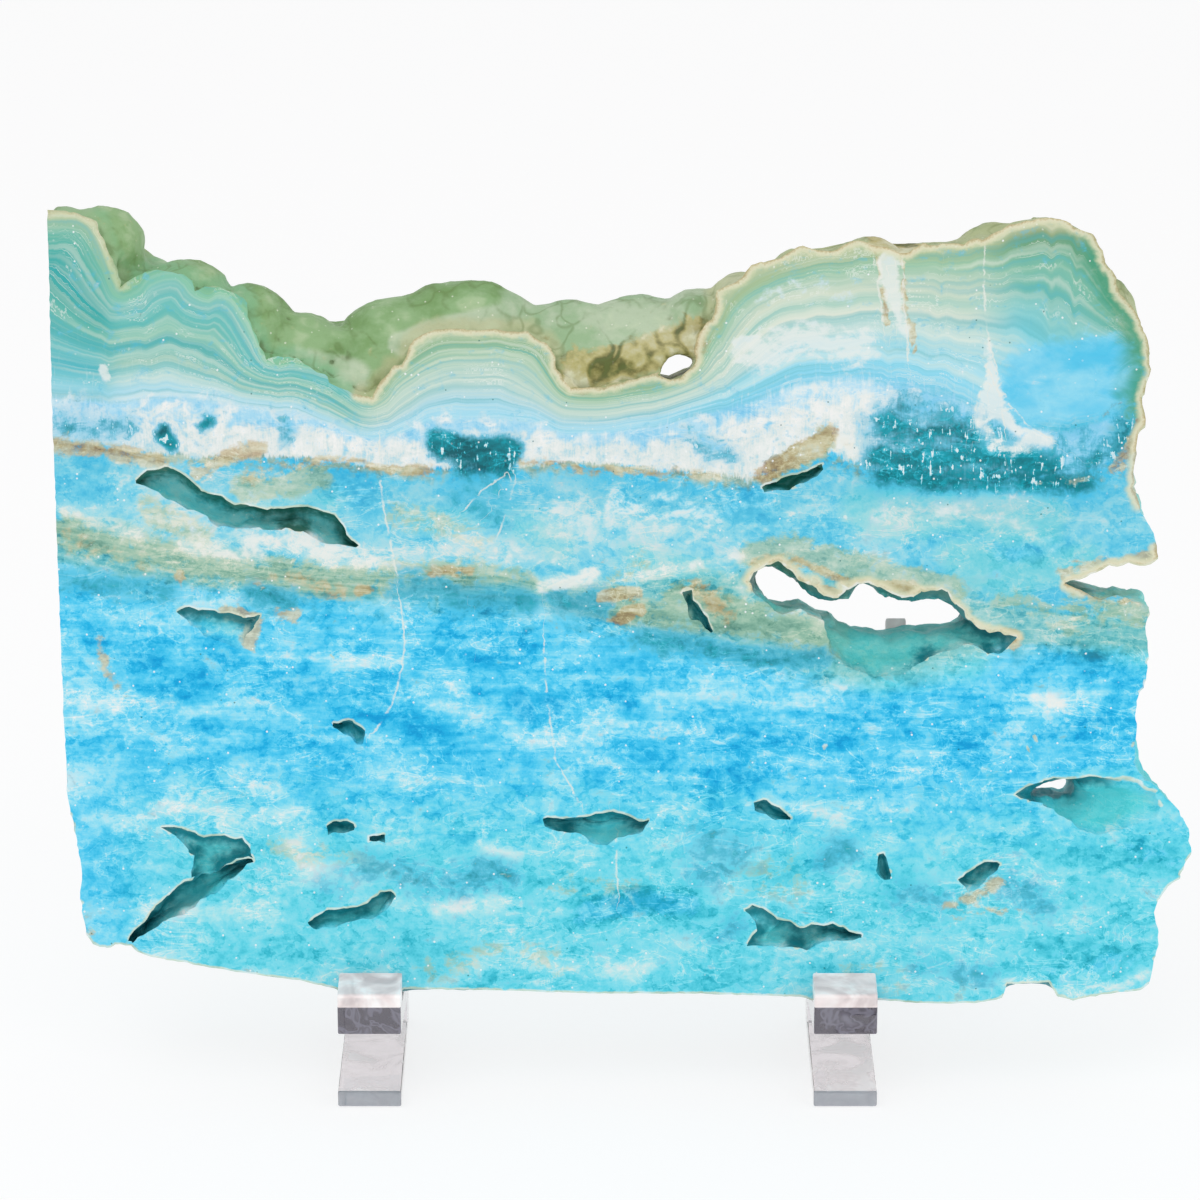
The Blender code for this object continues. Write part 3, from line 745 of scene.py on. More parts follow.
def slab_place(recipe):
    """Return the place on the slab in its own millimetres: across, behind the face and up it."""
    place = recipe.node("ShaderNodeTexCoord", output="Object")
    sockets = {"Vector": place, "Location": FACE_FOOT, "Rotation": (-LEAN, 0, 0), "Scale": (MM, MM, MM)}
    return recipe.node("ShaderNodeMapping", {"vector_type": "TEXTURE"}, sockets)


LEFT_BANDS = (
    (0.0, tint(136, 192, 144)),
    (0.07, tint(140, 204, 172)),
    (0.14, tint(144, 206, 196)),
    (0.19, tint(122, 196, 190)),
    (0.26, tint(118, 200, 194)),
    (0.34, tint(108, 194, 186)),
    (0.4, tint(146, 205, 188)),
    (0.46, tint(156, 208, 188)),
    (0.53, tint(96, 184, 180)),
    (0.6, tint(138, 204, 194)),
    (0.68, tint(160, 206, 190)),
    (0.76, tint(158, 213, 210)),
    (0.84, tint(190, 226, 226)),
    (0.92, tint(176, 226, 241)),
    (1.0, tint(205, 234, 242)),
)
CORNER_BANDS = (
    (0.0, tint(205, 210, 168)),
    (0.1, tint(112, 190, 168)),
    (0.2, tint(84, 182, 172)),
    (0.3, tint(56, 174, 172)),
    (0.38, tint(76, 178, 168)),
    (0.46, tint(116, 194, 180)),
    (0.54, tint(80, 182, 182)),
    (0.64, tint(120, 201, 202)),
    (0.74, tint(90, 190, 200)),
    (0.84, tint(122, 206, 216)),
    (0.92, tint(156, 219, 232)),
    (1.0, tint(150, 210, 222)),
)
MIDDLE_BANDS = (
    (0.0, tint(168, 196, 156)),
    (0.1, tint(146, 188, 148)),
    (0.2, tint(162, 202, 170)),
    (0.32, tint(194, 219, 198)),
    (0.42, tint(182, 216, 204)),
    (0.52, tint(206, 227, 215)),
    (0.62, tint(188, 221, 216)),
    (0.72, tint(184, 223, 231)),
    (0.86, tint(174, 226, 243)),
    (1.0, tint(172, 228, 247)),
)
RIGHT_BANDS = (
    (0.0, tint(190, 204, 166)),
    (0.08, tint(166, 194, 150)),
    (0.14, tint(164, 205, 174)),
    (0.24, tint(184, 213, 192)),
    (0.32, tint(214, 226, 206)),
    (0.4, tint(178, 216, 200)),
    (0.48, tint(224, 233, 218)),
    (0.54, tint(172, 217, 214)),
    (0.62, tint(210, 233, 228)),
    (0.7, tint(152, 219, 232)),
    (0.78, tint(184, 231, 240)),
    (0.88, tint(150, 224, 246)),
    (1.0, tint(136, 216, 243)),
)


FAR_BANDS = (
    (0.0, tint(204, 208, 172)),
    (0.07, tint(120, 156, 104)),
    (0.13, tint(106, 176, 146)),
    (0.22, tint(134, 196, 172)),
    (0.32, tint(116, 192, 180)),
    (0.4, tint(146, 211, 208)),
    (0.5, tint(130, 213, 224)),
    (0.58, tint(146, 219, 228)),
    (0.7, tint(124, 214, 238)),
    (0.8, tint(152, 227, 251)),
    (0.9, tint(116, 208, 236)),
    (1.0, tint(80, 196, 222)),
)


def banded_top(recipe, layer, across, place, fibres):
    """Return the colour of the banded lobes above the white fringe."""
    ragged = recipe.noise(place, (0.8, 3, 3.2), 3, 0.5, 4) - 0.5
    drift = recipe.noise(place, (14, 20, 10), 3, 0.5, 5) - 0.5
    column = recipe.noise(place, (15, 20, 150), 1, 0.5, 23) - 0.5
    column = recipe.smooth(abs(column), 0.11, 0.0)
    growth = layer + drift * 0.03 - column * 0.026
    corner = recipe.ramp(growth, CORNER_BANDS)
    left = recipe.ramp(growth, LEFT_BANDS)
    middle = recipe.ramp(growth, MIDDLE_BANDS)
    right = recipe.ramp(growth, RIGHT_BANDS)
    shade = recipe.mix(recipe.smooth(across, -151, -141), corner, left)
    shade = recipe.mix(recipe.smooth(across, -78, -64), shade, middle)
    shade = recipe.mix(recipe.smooth(across, 12, 44), shade, right)
    shade = recipe.mix(recipe.smooth(across, 108, 128), shade, recipe.ramp(growth, FAR_BANDS))
    stretch = growth + ragged * 0.014
    broad = recipe.node("ShaderNodeCombineXYZ", None, {0: stretch * 15, 1: across * 0.012})
    broad = recipe.node("ShaderNodeTexNoise", None, {"Vector": broad, "Scale": 1, "Detail": 2, "Roughness": 0.6})
    fine = recipe.node("ShaderNodeCombineXYZ", None, {0: stretch * 34, 1: across * 0.02, 2: 7})
    fine = recipe.node("ShaderNodeTexNoise", None, {"Vector": fine, "Scale": 1, "Detail": 3, "Roughness": 0.6})
    shade = recipe.mix(recipe.smooth(broad, 0.48, 0.72) * 0.42, shade, tint(232, 240, 226))
    shade = recipe.mix(recipe.smooth(broad, 0.52, 0.3) * 0.42, shade, tint(92, 188, 196))
    shade = recipe.mix(recipe.smooth(fine, 0.5, 0.76) * 0.2, shade, tint(236, 242, 230))
    shade = recipe.mix(recipe.smooth(fine, 0.5, 0.26) * 0.2, shade, tint(90, 180, 180))
    frost = recipe.smooth(abs(broad - 0.52 + ragged * 0.2), 0.02, 0.004) * recipe.smooth(drift, -0.02, 0.1)
    shade = recipe.mix(frost * 0.45, shade, tint(244, 248, 242))
    pale = recipe.smooth(fibres, 0.06, 0.3) * recipe.smooth(layer, 0.3, 1.0) * 0.3
    return recipe.mix(pale, shade, tint(232, 242, 240))


BLUE_STEPS = (
    (0.14, tint(4, 160, 220)),
    (0.3, tint(30, 184, 236)),
    (0.44, tint(72, 204, 246)),
    (0.56, tint(110, 218, 251)),
    (0.7, tint(160, 233, 252)),
    (0.86, tint(210, 243, 250)),
    (1.0, tint(242, 247, 246)),
)
TURQUOISE_STEPS = (
    (0.14, tint(22, 162, 186)),
    (0.3, tint(58, 196, 218)),
    (0.44, tint(98, 219, 238)),
    (0.56, tint(130, 227, 243)),
    (0.7, tint(170, 235, 243)),
    (0.86, tint(210, 241, 242)),
    (1.0, tint(240, 246, 244)),
)
BELT_STEPS = (
    (0.14, tint(40, 116, 122)),
    (0.3, tint(74, 158, 162)),
    (0.44, tint(108, 188, 188)),
    (0.56, tint(142, 203, 196)),
    (0.7, tint(178, 216, 206)),
    (0.86, tint(208, 226, 214)),
    (1.0, tint(240, 242, 232)),
)
# Pale pinkish colours of the painted reflections and light on the acrylic's ledge, front-top edge and base bar
PAINTED_LIGHT_STEPS = (
    (0.34, tint(206, 192, 192)),
    (0.5, tint(236, 224, 223)),
    (0.62, tint(254, 250, 249)),
)
SKY_STEPS = (
    (0.2, tint(120, 200, 238)),
    (0.4, tint(152, 216, 244)),
    (0.6, tint(186, 229, 247)),
    (0.85, tint(226, 242, 247)),
)
FRINGE_STEPS = (
    (0.1, tint(130, 204, 228)),
    (0.34, tint(186, 224, 233)),
    (0.54, tint(232, 238, 234)),
    (0.8, tint(252, 250, 246)),
)
# Colours of the painted highlight along the upper edges of hollows
ROOF_HIGHLIGHT_STEPS = (
    (0.35, tint(196, 206, 172)),
    (0.5, tint(226, 232, 208)),
    (0.65, tint(238, 246, 242)),
)
OLIVE_STEPS = (
    (0.2, tint(96, 112, 70)),
    (0.45, tint(146, 158, 112)),
    (0.7, tint(190, 192, 150)),
    (1.0, tint(226, 222, 190)),
)
GREEN_STEPS = (
    (0.14, tint(92, 136, 108)),
    (0.34, tint(132, 170, 138)),
    (0.52, tint(162, 194, 162)),
    (0.72, tint(192, 210, 182)),
    (1.0, tint(230, 232, 212)),
)
TEAL_STEPS = (
    (0.2, tint(0, 88, 96)),
    (0.42, tint(0, 130, 142)),
    (0.56, tint(0, 162, 180)),
    (0.72, tint(78, 198, 218)),
    (1.0, tint(230, 243, 245)),
)
CAVE_STEPS = (
    (0.1, tint(92, 82, 34)),
    (0.32, tint(150, 138, 80)),
    (0.55, tint(198, 186, 126)),
    (0.75, tint(208, 200, 156)),
    (0.95, tint(236, 230, 200)),
)
TAN_STEPS = (
    (0.2, tint(132, 92, 46)),
    (0.4, tint(170, 136, 86)),
    (0.56, tint(196, 174, 124)),
    (0.74, tint(216, 206, 168)),
    (1.0, tint(238, 232, 210)),
)


def stone_material(looks):
    """Make the banded stone: polished face, waxy skin, rough hollows and sawn back, with painted shade in the hollows
    and the skin's creases, and painted highlights and glints.
    """
    recipe = Recipe("aragonite")
    place = slab_place(recipe)
    across, behind, up = recipe.axes(place)
    layer = recipe.attribute("layer")
    rim = recipe.attribute("rim")
    roof = recipe.attribute("roof")
    crack = recipe.attribute("crack")
    stains = recipe.attribute("stains", "Color")
    teal, white_mark, tan = recipe.axes(stains)
    green = stains.output("Alpha")
    tones = recipe.attribute("tones", "Color")
    azure, cream_rim, pale_skin = recipe.axes(tones)
    aqua = tones.output("Alpha")
    polished = recipe.attribute("polished")
    sawn = recipe.attribute("sawn")

    broad = recipe.noise(place, (24, 20, 10), 3, 0.5, 10) - 0.5
    middle = recipe.noise(place, (8, 7, 5.5), 3, 0.55, 11, 1.0) - 0.5
    small = recipe.noise(place, (2.6, 2.6, 2.2), 3, 0.55, 12) - 0.5
    grain = recipe.noise(place, (0.7, 0.7, 0.7), 2, 0.6, 2) - 0.5
    fan = recipe.noise(place, (5, 8, 60), 1, 0.5, 22) - 0.5
    fan = {0: across / 0.8 + fan * (1.9 - layer) * 11, 1: behind / 4, 2: up / 6}
    fan = recipe.node("ShaderNodeCombineXYZ", None, fan)
    fibres = recipe.noise(fan, (1, 1, 1), 3, 0.6, 6) - 0.5
    teeth = recipe.noise(place, (2.4, 6, 5), 2, 0.5, 7) - 0.5
    gate = recipe.smooth(recipe.noise(place, (20, 20, 12), 2, 0.5, 15), 0.4, 0.62)
    calm = recipe.smooth(recipe.noise(place, (26, 26, 14), 3, 0.5, 19), 0.56, 0.42)
    frost = recipe.noise(place, (9, 8, 6), 5, 0.6, 13)
    frost = recipe.smooth(frost, 0.5, 0.512) * recipe.smooth(frost, 0.6, 0.5) * calm
    wisps = recipe.noise(place, (18, 12, 6), 5, 0.56, 14, 1.3)
    wisps = recipe.smooth(1 - abs(wisps - 0.5) * 2, 0.94, 1.0) * gate
    hairs = recipe.noise(place, (7, 8, 16), 3, 0.55, 16)
    hairs = recipe.smooth(1 - abs(hairs - 0.5) * 2, 0.982, 0.997) * gate
    pools = recipe.noise(place, (6, 6, 4.5), 4, 0.55, 17)
    pools = recipe.smooth(pools, 0.545, 0.57) * recipe.smooth(pools, 0.72, 0.56)
    sheets = recipe.noise(place, (26, 16, 2.6), 3, 0.6, 20) - 0.5
    sheets = sheets * recipe.smooth(layer, 3.6, 4.3) * recipe.smooth(layer, 5.2, 4.8)
    milky = recipe.smooth(layer, 2.0, 2.3) * recipe.smooth(layer, 3.1, 2.8) * 0.09
    milky = milky + recipe.smooth(across, -118, -150) * recipe.smooth(layer, 3.6, 4.2) * 0.08
    tone = (0.51 + milky + (broad * 0.7 + middle * 0.55) * (1 - aqua * 0.45) + small * 0.4 + grain * 0.18 + wisps * 0.19
            + frost * 0.15 + hairs * 0.13 - pools * 0.12 + sheets * 0.55 + white_mark * 0.4 - azure * 0.3)
    laminae = recipe.node("ShaderNodeCombineXYZ", None, {0: across * 0.07, 1: layer * 8 + middle * 0.8})
    laminae = recipe.node("ShaderNodeTexNoise", None, {"Vector": laminae, "Scale": 1, "Detail": 4, "Roughness": 0.6})
    laminae = laminae - 0.5

    warped = layer + middle * 0.5 + small * 0.25
    turquoise = recipe.smooth(warped, 4.8, 5.4) * recipe.smooth(across, -162, -118)
    turquoise = turquoise + recipe.smooth(aqua + middle * 0.8, 0.1, 0.9) * (1 - turquoise)
    body = recipe.mix(turquoise, recipe.ramp(tone, BLUE_STEPS),
                      recipe.ramp(tone, TURQUOISE_STEPS))
    cloudy = recipe.smooth(warped, 1.95, 2.3) * recipe.smooth(warped, 3.1, 2.8)
    body = recipe.mix(cloudy * 0.22, body, tint(122, 178, 172))
    belt = recipe.smooth(warped, 2.8, 3.15) * recipe.smooth(warped, 4.15, 3.8)
    body = recipe.mix(belt * 0.8, body, recipe.ramp(tone + laminae * 0.7, BELT_STEPS))
    bands = banded_top(recipe, layer, across, place, fibres)
    sky = recipe.ramp(tone + fibres * 0.3, SKY_STEPS)
    shade = recipe.mix(recipe.smooth(layer + fibres * 0.2, 0.98, 1.12), bands, sky)
    shade = recipe.mix(recipe.smooth(layer + teeth * 0.3, 1.86, 1.98), shade, body)

    below = recipe.smooth(layer + teeth * 0.25, 1.92, 2.02) * recipe.smooth(warped, 2.5, 2.1)
    shade = recipe.mix(below * 0.3, shade, tint(84, 184, 212))
    olive = recipe.smooth(abs(layer - 1.98 + teeth * 0.25), 0.16, 0.03) * recipe.smooth(broad + small, -0.12, 0.1)
    shade = recipe.mix(olive * 0.7, shade, recipe.ramp(tone + laminae, OLIVE_STEPS))
    tufts = recipe.node("ShaderNodeCombineXYZ", None, {0: across / 4.6 + small, 1: behind / 9, 2: up / 5.4 + small})
    tufts = recipe.node("ShaderNodeTexVoronoi", None, {"Vector": tufts, "Scale": 1, "Randomness": 0.9}, "Distance")
    tufts = 0.42 - tufts
    start = recipe.smooth(layer + fibres * 0.3 + tufts * 0.5 + middle * 1.3, 1.0, 1.42)
    end = recipe.smooth(layer + fibres * 0.3 + tufts * 0.12, 1.98, 1.9)
    reach = recipe.smooth(across, 132, 112) * (recipe.smooth(across, -152, -130) * 0.5 + 0.5)
    fringe = recipe.ramp(0.62 + fibres * 0.55 + grain * 0.3 + tufts * 0.4 + small * 0.5 + middle * 0.6, FRINGE_STEPS)
    shade = recipe.mix(start * end * reach * 0.92, shade, fringe)

    def stain(mask, low=0.3, high=0.7):
        return recipe.smooth(mask + middle * 1.4 + small * 0.8 + grain * 0.3, low, high)

    shade = recipe.mix(stain(green) * 0.75, shade, recipe.ramp(tone + laminae * 1.1, GREEN_STEPS))
    shade = recipe.mix(stain(azure, 0.35, 0.8) * 0.6, shade, recipe.ramp(tone + azure * 0.3, BLUE_STEPS))
    calm_blue = recipe.mix(recipe.smooth(broad + middle * 0.4, -0.2, 0.22), tint(86, 204, 242), tint(156, 226, 247))
    calm_part = recipe.smooth(azure + middle * 0.5, 0.2, 1.0) * recipe.smooth(layer, 1.9, 1.5)
    shade = recipe.mix(calm_part * 0.85, shade, calm_blue)
    verge = recipe.smooth(rim + middle * 8, 11, 2) * recipe.smooth(across, 136, 148) * recipe.smooth(layer, 2.0, 1.6)
    shade = recipe.mix(verge * 0.85, shade, tint(72, 162, 128))
    flecks = recipe.smooth(fibres + small * 0.9, 0.12, 0.24) * recipe.smooth(layer, 2.25, 1.9)
    feathered = teal + fibres * recipe.smooth(layer, 2.25, 1.9) * recipe.smooth(layer, 0.9, 1.1) * 0.5
    shade = recipe.mix(stain(feathered, 0.1, 0.6) * 0.8, shade, tint(74, 196, 230))
    shade = recipe.mix(stain(feathered, 0.3, 1.0) * 0.95, shade, recipe.ramp(tone - 0.1 + flecks * 0.6, TEAL_STEPS))
    shade = recipe.mix(stain(tan) * 0.75, shade, recipe.ramp(tone + 0.05 + laminae * 1.1, TAN_STEPS))
    shade = recipe.mix(stain(white_mark, 0.45, 0.95) * 0.75, shade, tint(240, 244, 240))

    # Painted glints: small white specks of varied brightness scattered over the face and, further down, the skin
    cells = {"Vector": place, "Scale": 0.5, "Randomness": 1.0}
    near = recipe.node("ShaderNodeTexVoronoi", None, cells, "Distance")
    chance, bright, _ = recipe.axes(near.output("Color"))
    painted_glints = recipe.smooth(near + grain * 0.1, 0.2, 0.11) * recipe.smooth(chance, 0.76, 0.8)
    shade = recipe.mix(painted_glints * (bright * 0.7 + 0.2), shade, tint(246, 250, 249))
    pits = recipe.smooth(near + grain * 0.1, 0.16, 0.1) * recipe.smooth(chance, 0.03, 0.02)
    shade = recipe.mix(pits * 0.7, shade, tint(36, 110, 112))

    line = recipe.smooth(abs(crack + small * 1.6 + grain * 0.4), 0.42, 0.1) * recipe.smooth(middle, -0.12, 0.05)
    shade = recipe.mix(line * 0.7, shade, tint(238, 240, 232))

    cream_width = rim + middle * 3 + small * 1.5 + grain * 0.5
    cream_part = recipe.smooth(cream_rim, 0.15, 0.6)
    cream = recipe.ramp(rim / 3 + grain * 0.5 + middle * 0.6, (
        (0.0, tint(190, 174, 132)),
        (0.14, tint(216, 204, 164)),
        (0.3, tint(232, 228, 198)),
        (0.6, tint(222, 224, 188)),
        (1.0, tint(200, 212, 172)),
    ))
    shade = recipe.mix(recipe.smooth(cream_width, 3.0, 1.0) * cream_part * 0.85, shade, cream)
    # Painted highlight: a thin pale line on the polished face just above each roof edge, where a rounded polished edge
    # would catch the light
    roof_highlight = recipe.smooth(roof + small * 0.9 + grain * 0.3, 0.85, 0.35) * recipe.smooth(layer, 0.4, 1.2)
    shade = recipe.mix(roof_highlight * 0.75, shade, recipe.ramp(middle + 0.5, ROOF_HIGHLIGHT_STEPS))

    waxy = recipe.noise(place, (16, 16, 12), 4, 0.6, 21)
    crevice_shade = recipe.smooth(recipe.node("ShaderNodeNewGeometry", output="Pointiness"), 0.49, 0.44)
    folds = recipe.node("ShaderNodeVectorMath", {"operation": "MULTIPLY_ADD"}, {
        0: recipe.node("ShaderNodeTexNoise", None, {"Vector": place, "Scale": 0.09, "Detail": 1}, "Color"),
        1: (26, 26, 26),
        2: place,
    })
    folds = {"Vector": folds, "Scale": 0.07, "Randomness": 1.0}
    folds = recipe.node("ShaderNodeTexVoronoi", {"feature": "DISTANCE_TO_EDGE"}, folds, "Distance")
    crease_shade = recipe.smooth(folds + small * 0.05, 0.09, 0.0)
    deep_skin = recipe.mix(recipe.smooth(waxy, 0.36, 0.6), tint(126, 164, 104), tuple(looks.skin_green))
    pale = recipe.mix(recipe.smooth(waxy, 0.36, 0.6), tint(160, 192, 150), tint(192, 210, 180))
    skin_shade = recipe.mix(recipe.smooth(pale_skin + middle * 0.5, 0.2, 0.6), deep_skin, pale)
    near_rim = recipe.smooth(rim + small * 3, 4.5, 1)
    skin_shade = recipe.mix(near_rim * cream_part * 0.6, skin_shade, tint(206, 204, 160))
    skin_shade = recipe.mix(near_rim * (1 - cream_part) * 0.7, skin_shade, tint(138, 194, 150))
    # Painted glints on the skin
    skin_shade = recipe.mix(painted_glints * 0.6, skin_shade, tint(238, 242, 224))
    # In the skin's tan stains: darker brown towards the creases between lumps, painted shade, over a random waxy tone
    crease_shade_and_tone = recipe.smooth(folds, 0.0, 0.2) * 0.5 + (waxy - 0.5) * 1.6 + small * 0.8 + 0.2
    skin_shade = recipe.mix(stain(tan, 0.2, 0.7) * 0.85, skin_shade, recipe.ramp(crease_shade_and_tone, CAVE_STEPS))
    # Painted highlight: pale green-cream on the lumps' middles, away from their creases
    skin_shade = recipe.mix(recipe.smooth(folds, 0.1, 0.3) * recipe.smooth(waxy, 0.5, 0.66) * 0.35, skin_shade,
                            tint(212, 226, 190))
    # Painted shade: darker olive along the creases between the skin's lumps
    skin_shade = recipe.mix(crease_shade * recipe.smooth(waxy, 0.6, 0.42) * 0.4, skin_shade, tint(104, 126, 70))
    # Painted shade: darker olive where the skin curves inwards
    skin_shade = recipe.mix(crevice_shade * 0.6, skin_shade, tint(96, 112, 66))
    skin = recipe.smooth(layer + middle * 0.5, 1.6, 0.9)
    # Painted shade: hollow walls close under a roof edge darken towards deep teal, or towards dark green higher up the
    # slab
    shadow = recipe.mix(recipe.smooth(up + middle * 20, 110, 135), tint(0, 124, 136), tint(10, 96, 76))
    # Hollow walls more than a few millimetres behind the face turn a light, saturated turquoise: partly the stone's
    # colour, partly painted light that makes up for the shade the walls lie in
    hollow = recipe.mix(recipe.smooth(behind, 0, 4) * 0.6, shade, tint(90, 224, 222))
    roof_shade = recipe.smooth(roof + small * 4 + middle * 3, 5.0, 1.0) * recipe.smooth(across, 158, 150)
    hollow = recipe.mix(roof_shade * 0.9, hollow, shadow)
    outside = recipe.mix(skin, hollow, skin_shade)
    back = recipe.mix(0.3, shade, tint(190, 210, 208))
    outside = recipe.mix(sawn, outside, back)

    relief = recipe.noise(place, (1.8, 1.8, 1.8), 3, 0.6, 31)
    bump = recipe.node("ShaderNodeBump", None, {"Strength": 0.5, "Distance": 0.0006, "Height": relief})
    common = {"IOR": 1.53, "Specular IOR Level": 0.18}
    rough = recipe.principled({"Base Color": outside, "Roughness": small * 0.3 + 0.42, "Normal": bump, **common})
    smooth = recipe.principled({"Base Color": shade, "Roughness": small * 0.3 + 0.2, **common})
    return recipe.finish(recipe.node("ShaderNodeMixShader", None, {0: polished, 1: rough, 2: smooth}))


def clear_material(name, looks):
    """Make clear acrylic, with a frosted sawn front and films of painted reflection, highlight and light on its ledge,
    its front-top edge, the lip under the ledge and its base bar; the films glow faintly.
    """
    recipe = Recipe(name)
    place = recipe.node("ShaderNodeTexCoord", output="Object")
    _, back, up = recipe.axes(place)
    wear = recipe.node("ShaderNodeTexNoise", None, {"Vector": place, "Scale": 180, "Detail": 4})
    ripple = recipe.node("ShaderNodeTexNoise", None, {"Vector": place, "Scale": 60, "Detail": 2})
    swirl = {"Vector": place, "Scale": 90, "Detail": 2, "Distortion": 1.6}
    swirl = recipe.node("ShaderNodeTexNoise", None, swirl)
    clouds = recipe.node("ShaderNodeTexNoise", None, {"Vector": place, "Scale": 75, "Detail": 3, "Distortion": 0.8})
    bump = recipe.node("ShaderNodeBump", None, {"Strength": 0.08, "Distance": 0.0004, "Height": ripple})
    clear = recipe.principled({
        "Base Color": tuple(looks.tint),
        "Roughness": recipe.smooth(wear, 0.45, 0.75) * 0.05 + 0.01,
        "Normal": bump,
        "IOR": 1.49,
        "Transmission Weight": 1.0,
    })
    # Painted reflection: a light grey swirled film over the ledge's top, in place of the bright surroundings it mirrors
    ledge_reflection = recipe.smooth(up, LEDGE_BAND, LEDGE_BAND + 0.0003)
    # Painted highlight along the ledge's front-top edge
    edge = recipe.smooth(abs(up - LEDGE_EDGE), 0.0004, 0.0001)
    front = recipe.smooth(back, STAND_FRONT + 0.0008, STAND_FRONT + 0.0004)
    # Painted reflection: a dark purple-grey band with pale swirls on the front of the lip under the ledge, in place of
    # the dark surroundings it mirrors
    dark_reflection = recipe.smooth(back, LEDGE_FRONT + 0.0008, LEDGE_FRONT + 0.0004)
    dark_reflection = dark_reflection * recipe.smooth(up, LEDGE_FOOT - 0.001, LEDGE_FOOT - 0.0006) * (1 - ledge_reflection) * (1 - front)
    reflection_swirls = recipe.smooth(abs(swirl - 0.52), 0.05, 0.01) * 0.25 + recipe.smooth(swirl, 0.5, 0.75) * 0.3
    # Painted light: soft pale clouds in the base bar, standing in for the light patterns seen through it
    base_bar_light = recipe.smooth(up, 0.0062, 0.0056) * recipe.smooth(up, 0.0044, 0.0048) * (1 - front)
    # The frosted sawn front, together with the painted reflections, highlight and light above, make one film over the
    # clear acrylic
    frost_and_painted_light = (ledge_reflection * (swirl * 0.5 + 0.65) + edge * 0.3 + front * (swirl * 0.5 + 0.4) + dark_reflection * 0.8
            + base_bar_light * recipe.smooth(clouds, 0.42, 0.62) * 0.5)
    frost_and_painted_light = recipe.node("ShaderNodeClamp", None, {0: frost_and_painted_light, 1: 0.0, 2: 0.95})
    shade = recipe.mix(front, recipe.ramp(clouds, PAINTED_LIGHT_STEPS), tint(158, 166, 174))
    # Colours of the painted dark reflection and its swirls
    shade = recipe.mix(dark_reflection, shade, recipe.mix(reflection_swirls, tint(54, 50, 64), tint(160, 160, 182)))
    # The film's shader glows faintly of itself: painted light
    frost_and_glow = recipe.principled({
        "Base Color": shade,
        "Roughness": 0.3,
        "Emission Color": shade,
        "Emission Strength": 0.16,
    })
    surface = recipe.node("ShaderNodeMixShader", None, {0: frost_and_painted_light, 1: clear, 2: frost_and_glow})
    depth = {"Color": tuple(looks.depth), "Density": looks.density}
    return recipe.finish(surface, recipe.node("ShaderNodeVolumeAbsorption", None, depth))


def add_piece(name, mesh, node):
    piece = bpy.data.objects.new(name, mesh)
    bpy.context.scene.collection.objects.link(piece)
    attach(piece, "root")
    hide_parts(node)
    return piece


def build_clear(node, name, looks):
    """Return a CAD node's mesh with its sharp edges rounded."""
    data = bmesh.new()
    data.from_mesh(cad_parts[node].data)
    bmesh.ops.remove_doubles(data, verts=data.verts, dist=1e-7)
    bmesh.ops.dissolve_limit(data, angle_limit=math.radians(1), verts=data.verts, edges=data.edges)
    sharp = [edge for edge in data.edges if edge.calc_face_angle(0) > math.radians(20)]
    bmesh.ops.bevel(
        data, geom=sharp, offset=looks.edge, affect="EDGES", segments=3, profile=0.5, material=-1,
        clamp_overlap=True,
    )
    mesh = bpy.data.meshes.new(name)
    data.to_mesh(mesh)
    data.free()
    mesh.materials.append(clear_material(name, looks))
    return mesh


class SLAB_OT_stone(Operator):
    """Make the banded stone slab"""

    bl_idname = "slab.stone"
    bl_label = "Stone Slab"

    def execute(self, context):
        add_piece("banded_slab", build_slab(context.scene.slab_looks), "slab")
        return {"FINISHED"}


class SLAB_OT_stands(Operator):
    """Make the two clear feet"""

    bl_idname = "slab.stands"
    bl_label = "Clear Feet"

    def execute(self, context):
        looks = context.scene.slab_stand_looks
        for side in ("left", "right"):
            mesh = build_clear(f"{side}_stand", f"{side}_foot", looks)
            add_piece(f"{side}_foot", mesh, f"{side}_stand")
        return {"FINISHED"}


class SLAB_OT_prop(Operator):
    """Make the clear strut behind the slab"""

    bl_idname = "slab.prop"
    bl_label = "Rear Strut"

    def execute(self, context):
        mesh = build_clear("rear_prop", "rear_strut", context.scene.slab_stand_looks)
        add_piece("rear_strut", mesh, "rear_prop")
        return {"FINISHED"}


def add_lamp(name, place, aim, size, power):
    lamp = bpy.data.lights.new(name, "AREA")
    lamp.shape = "RECTANGLE"
    lamp.size, lamp.size_y = size
    lamp.energy = power
    holder = bpy.data.objects.new(name, lamp)
    bpy.context.scene.collection.objects.link(holder)
    holder.location = place
    holder.rotation_euler = (Vector(aim) - Vector(place)).to_track_quat("-Z", "Y").to_euler()


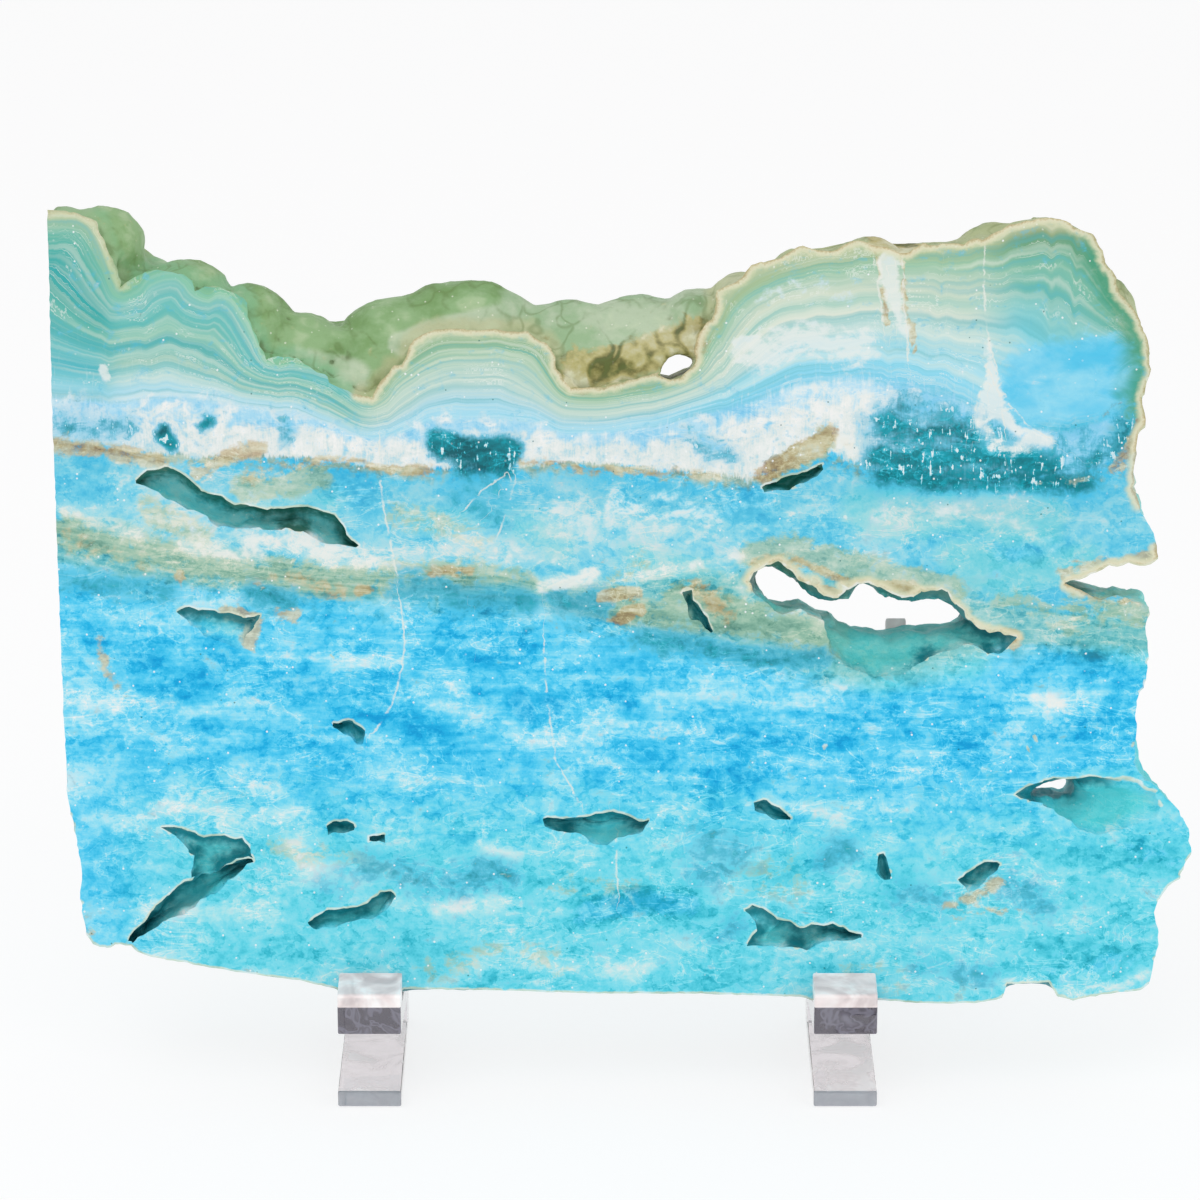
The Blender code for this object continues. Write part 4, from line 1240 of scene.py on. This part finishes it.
class SLAB_OT_stage(Operator):
    """Make the floor, the soft light and the camera"""

    bl_idname = "slab.stage"
    bl_label = "Stage"

    def execute(self, context):
        scene = context.scene
        looks = scene.slab_stage_looks
        data = bmesh.new()
        bmesh.ops.create_grid(data, x_segments=1, y_segments=1, size=4)
        bmesh.ops.translate(data, verts=data.verts, vec=(0, 0, -FLOOR_GAP))
        mesh = bpy.data.meshes.new("floor")
        data.to_mesh(mesh)
        data.free()
        recipe = Recipe("floor")
        place = recipe.node("ShaderNodeTexCoord", output="Object")
        grain = recipe.node("ShaderNodeTexNoise", None, {"Vector": place, "Scale": 400, "Detail": 2})
        mesh.materials.append(recipe.finish(recipe.principled({
            "Base Color": tuple(looks.floor),
            "Roughness": grain * 0.1 + 0.7,
            "Specular IOR Level": 0.1,
            "Emission Color": (1, 1, 1, 1),
            "Emission Strength": looks.glow,
        })))
        floor = bpy.data.objects.new("floor", mesh)
        scene.collection.objects.link(floor)

        world = bpy.data.worlds.new("soft_room")
        world.use_nodes = True
        shade = world.node_tree.nodes["Background"]
        shade.inputs["Color"].default_value = (1, 1, 1, 1)
        shade.inputs["Strength"].default_value = looks.light
        scene.world = world
        add_lamp("overhead", (-0.5, -0.7, 1.6), (0, 0, 0.1), (1.6, 1.2), 6.6)
        add_lamp("side_fill", (1.4, -0.9, 0.7), (0, 0, 0.1), (0.9, 0.9), 3)

        camera = bpy.data.cameras.new("camera")
        camera.lens = LENS
        camera.sensor_width = SENSOR
        camera.clip_start = 0.05
        holder = bpy.data.objects.new("camera", camera)
        scene.collection.objects.link(holder)
        holder.location = CAMERA_PLACE
        holder.rotation_euler = (CAMERA_PITCH, 0, 0)
        scene.camera = holder
        scene.view_settings.view_transform = "Standard"
        return {"FINISHED"}


class SLAB_PT_panel(Panel):
    bl_label = "Aragonite Slab"
    bl_idname = "SLAB_PT_panel"
    bl_space_type = "VIEW_3D"
    bl_region_type = "UI"
    bl_category = "Slab"

    def draw(self, context):
        layout = self.layout
        for looks in (context.scene.slab_looks, context.scene.slab_stand_looks, context.scene.slab_stage_looks):
            box = layout.box()
            for name in looks.__annotations__:
                box.prop(looks, name)
        for operator in OPERATORS:
            layout.operator(operator.bl_idname)


OPERATORS = (SLAB_OT_stone, SLAB_OT_stands, SLAB_OT_prop, SLAB_OT_stage)
CLASSES = (SlabLooks, StandLooks, StageLooks, *OPERATORS, SLAB_PT_panel)


def register():
    for item in CLASSES:
        bpy.utils.register_class(item)
    bpy.types.Scene.slab_looks = PointerProperty(type=SlabLooks)
    bpy.types.Scene.slab_stand_looks = PointerProperty(type=StandLooks)
    bpy.types.Scene.slab_stage_looks = PointerProperty(type=StageLooks)


def unregister():
    del bpy.types.Scene.slab_stage_looks
    del bpy.types.Scene.slab_stand_looks
    del bpy.types.Scene.slab_looks
    for item in reversed(CLASSES):
        bpy.utils.unregister_class(item)


def main():
    register()
    bpy.ops.slab.stone()
    bpy.ops.slab.stands()
    bpy.ops.slab.prop()
    bpy.ops.slab.stage()


if __name__ == "__main__":
    main()
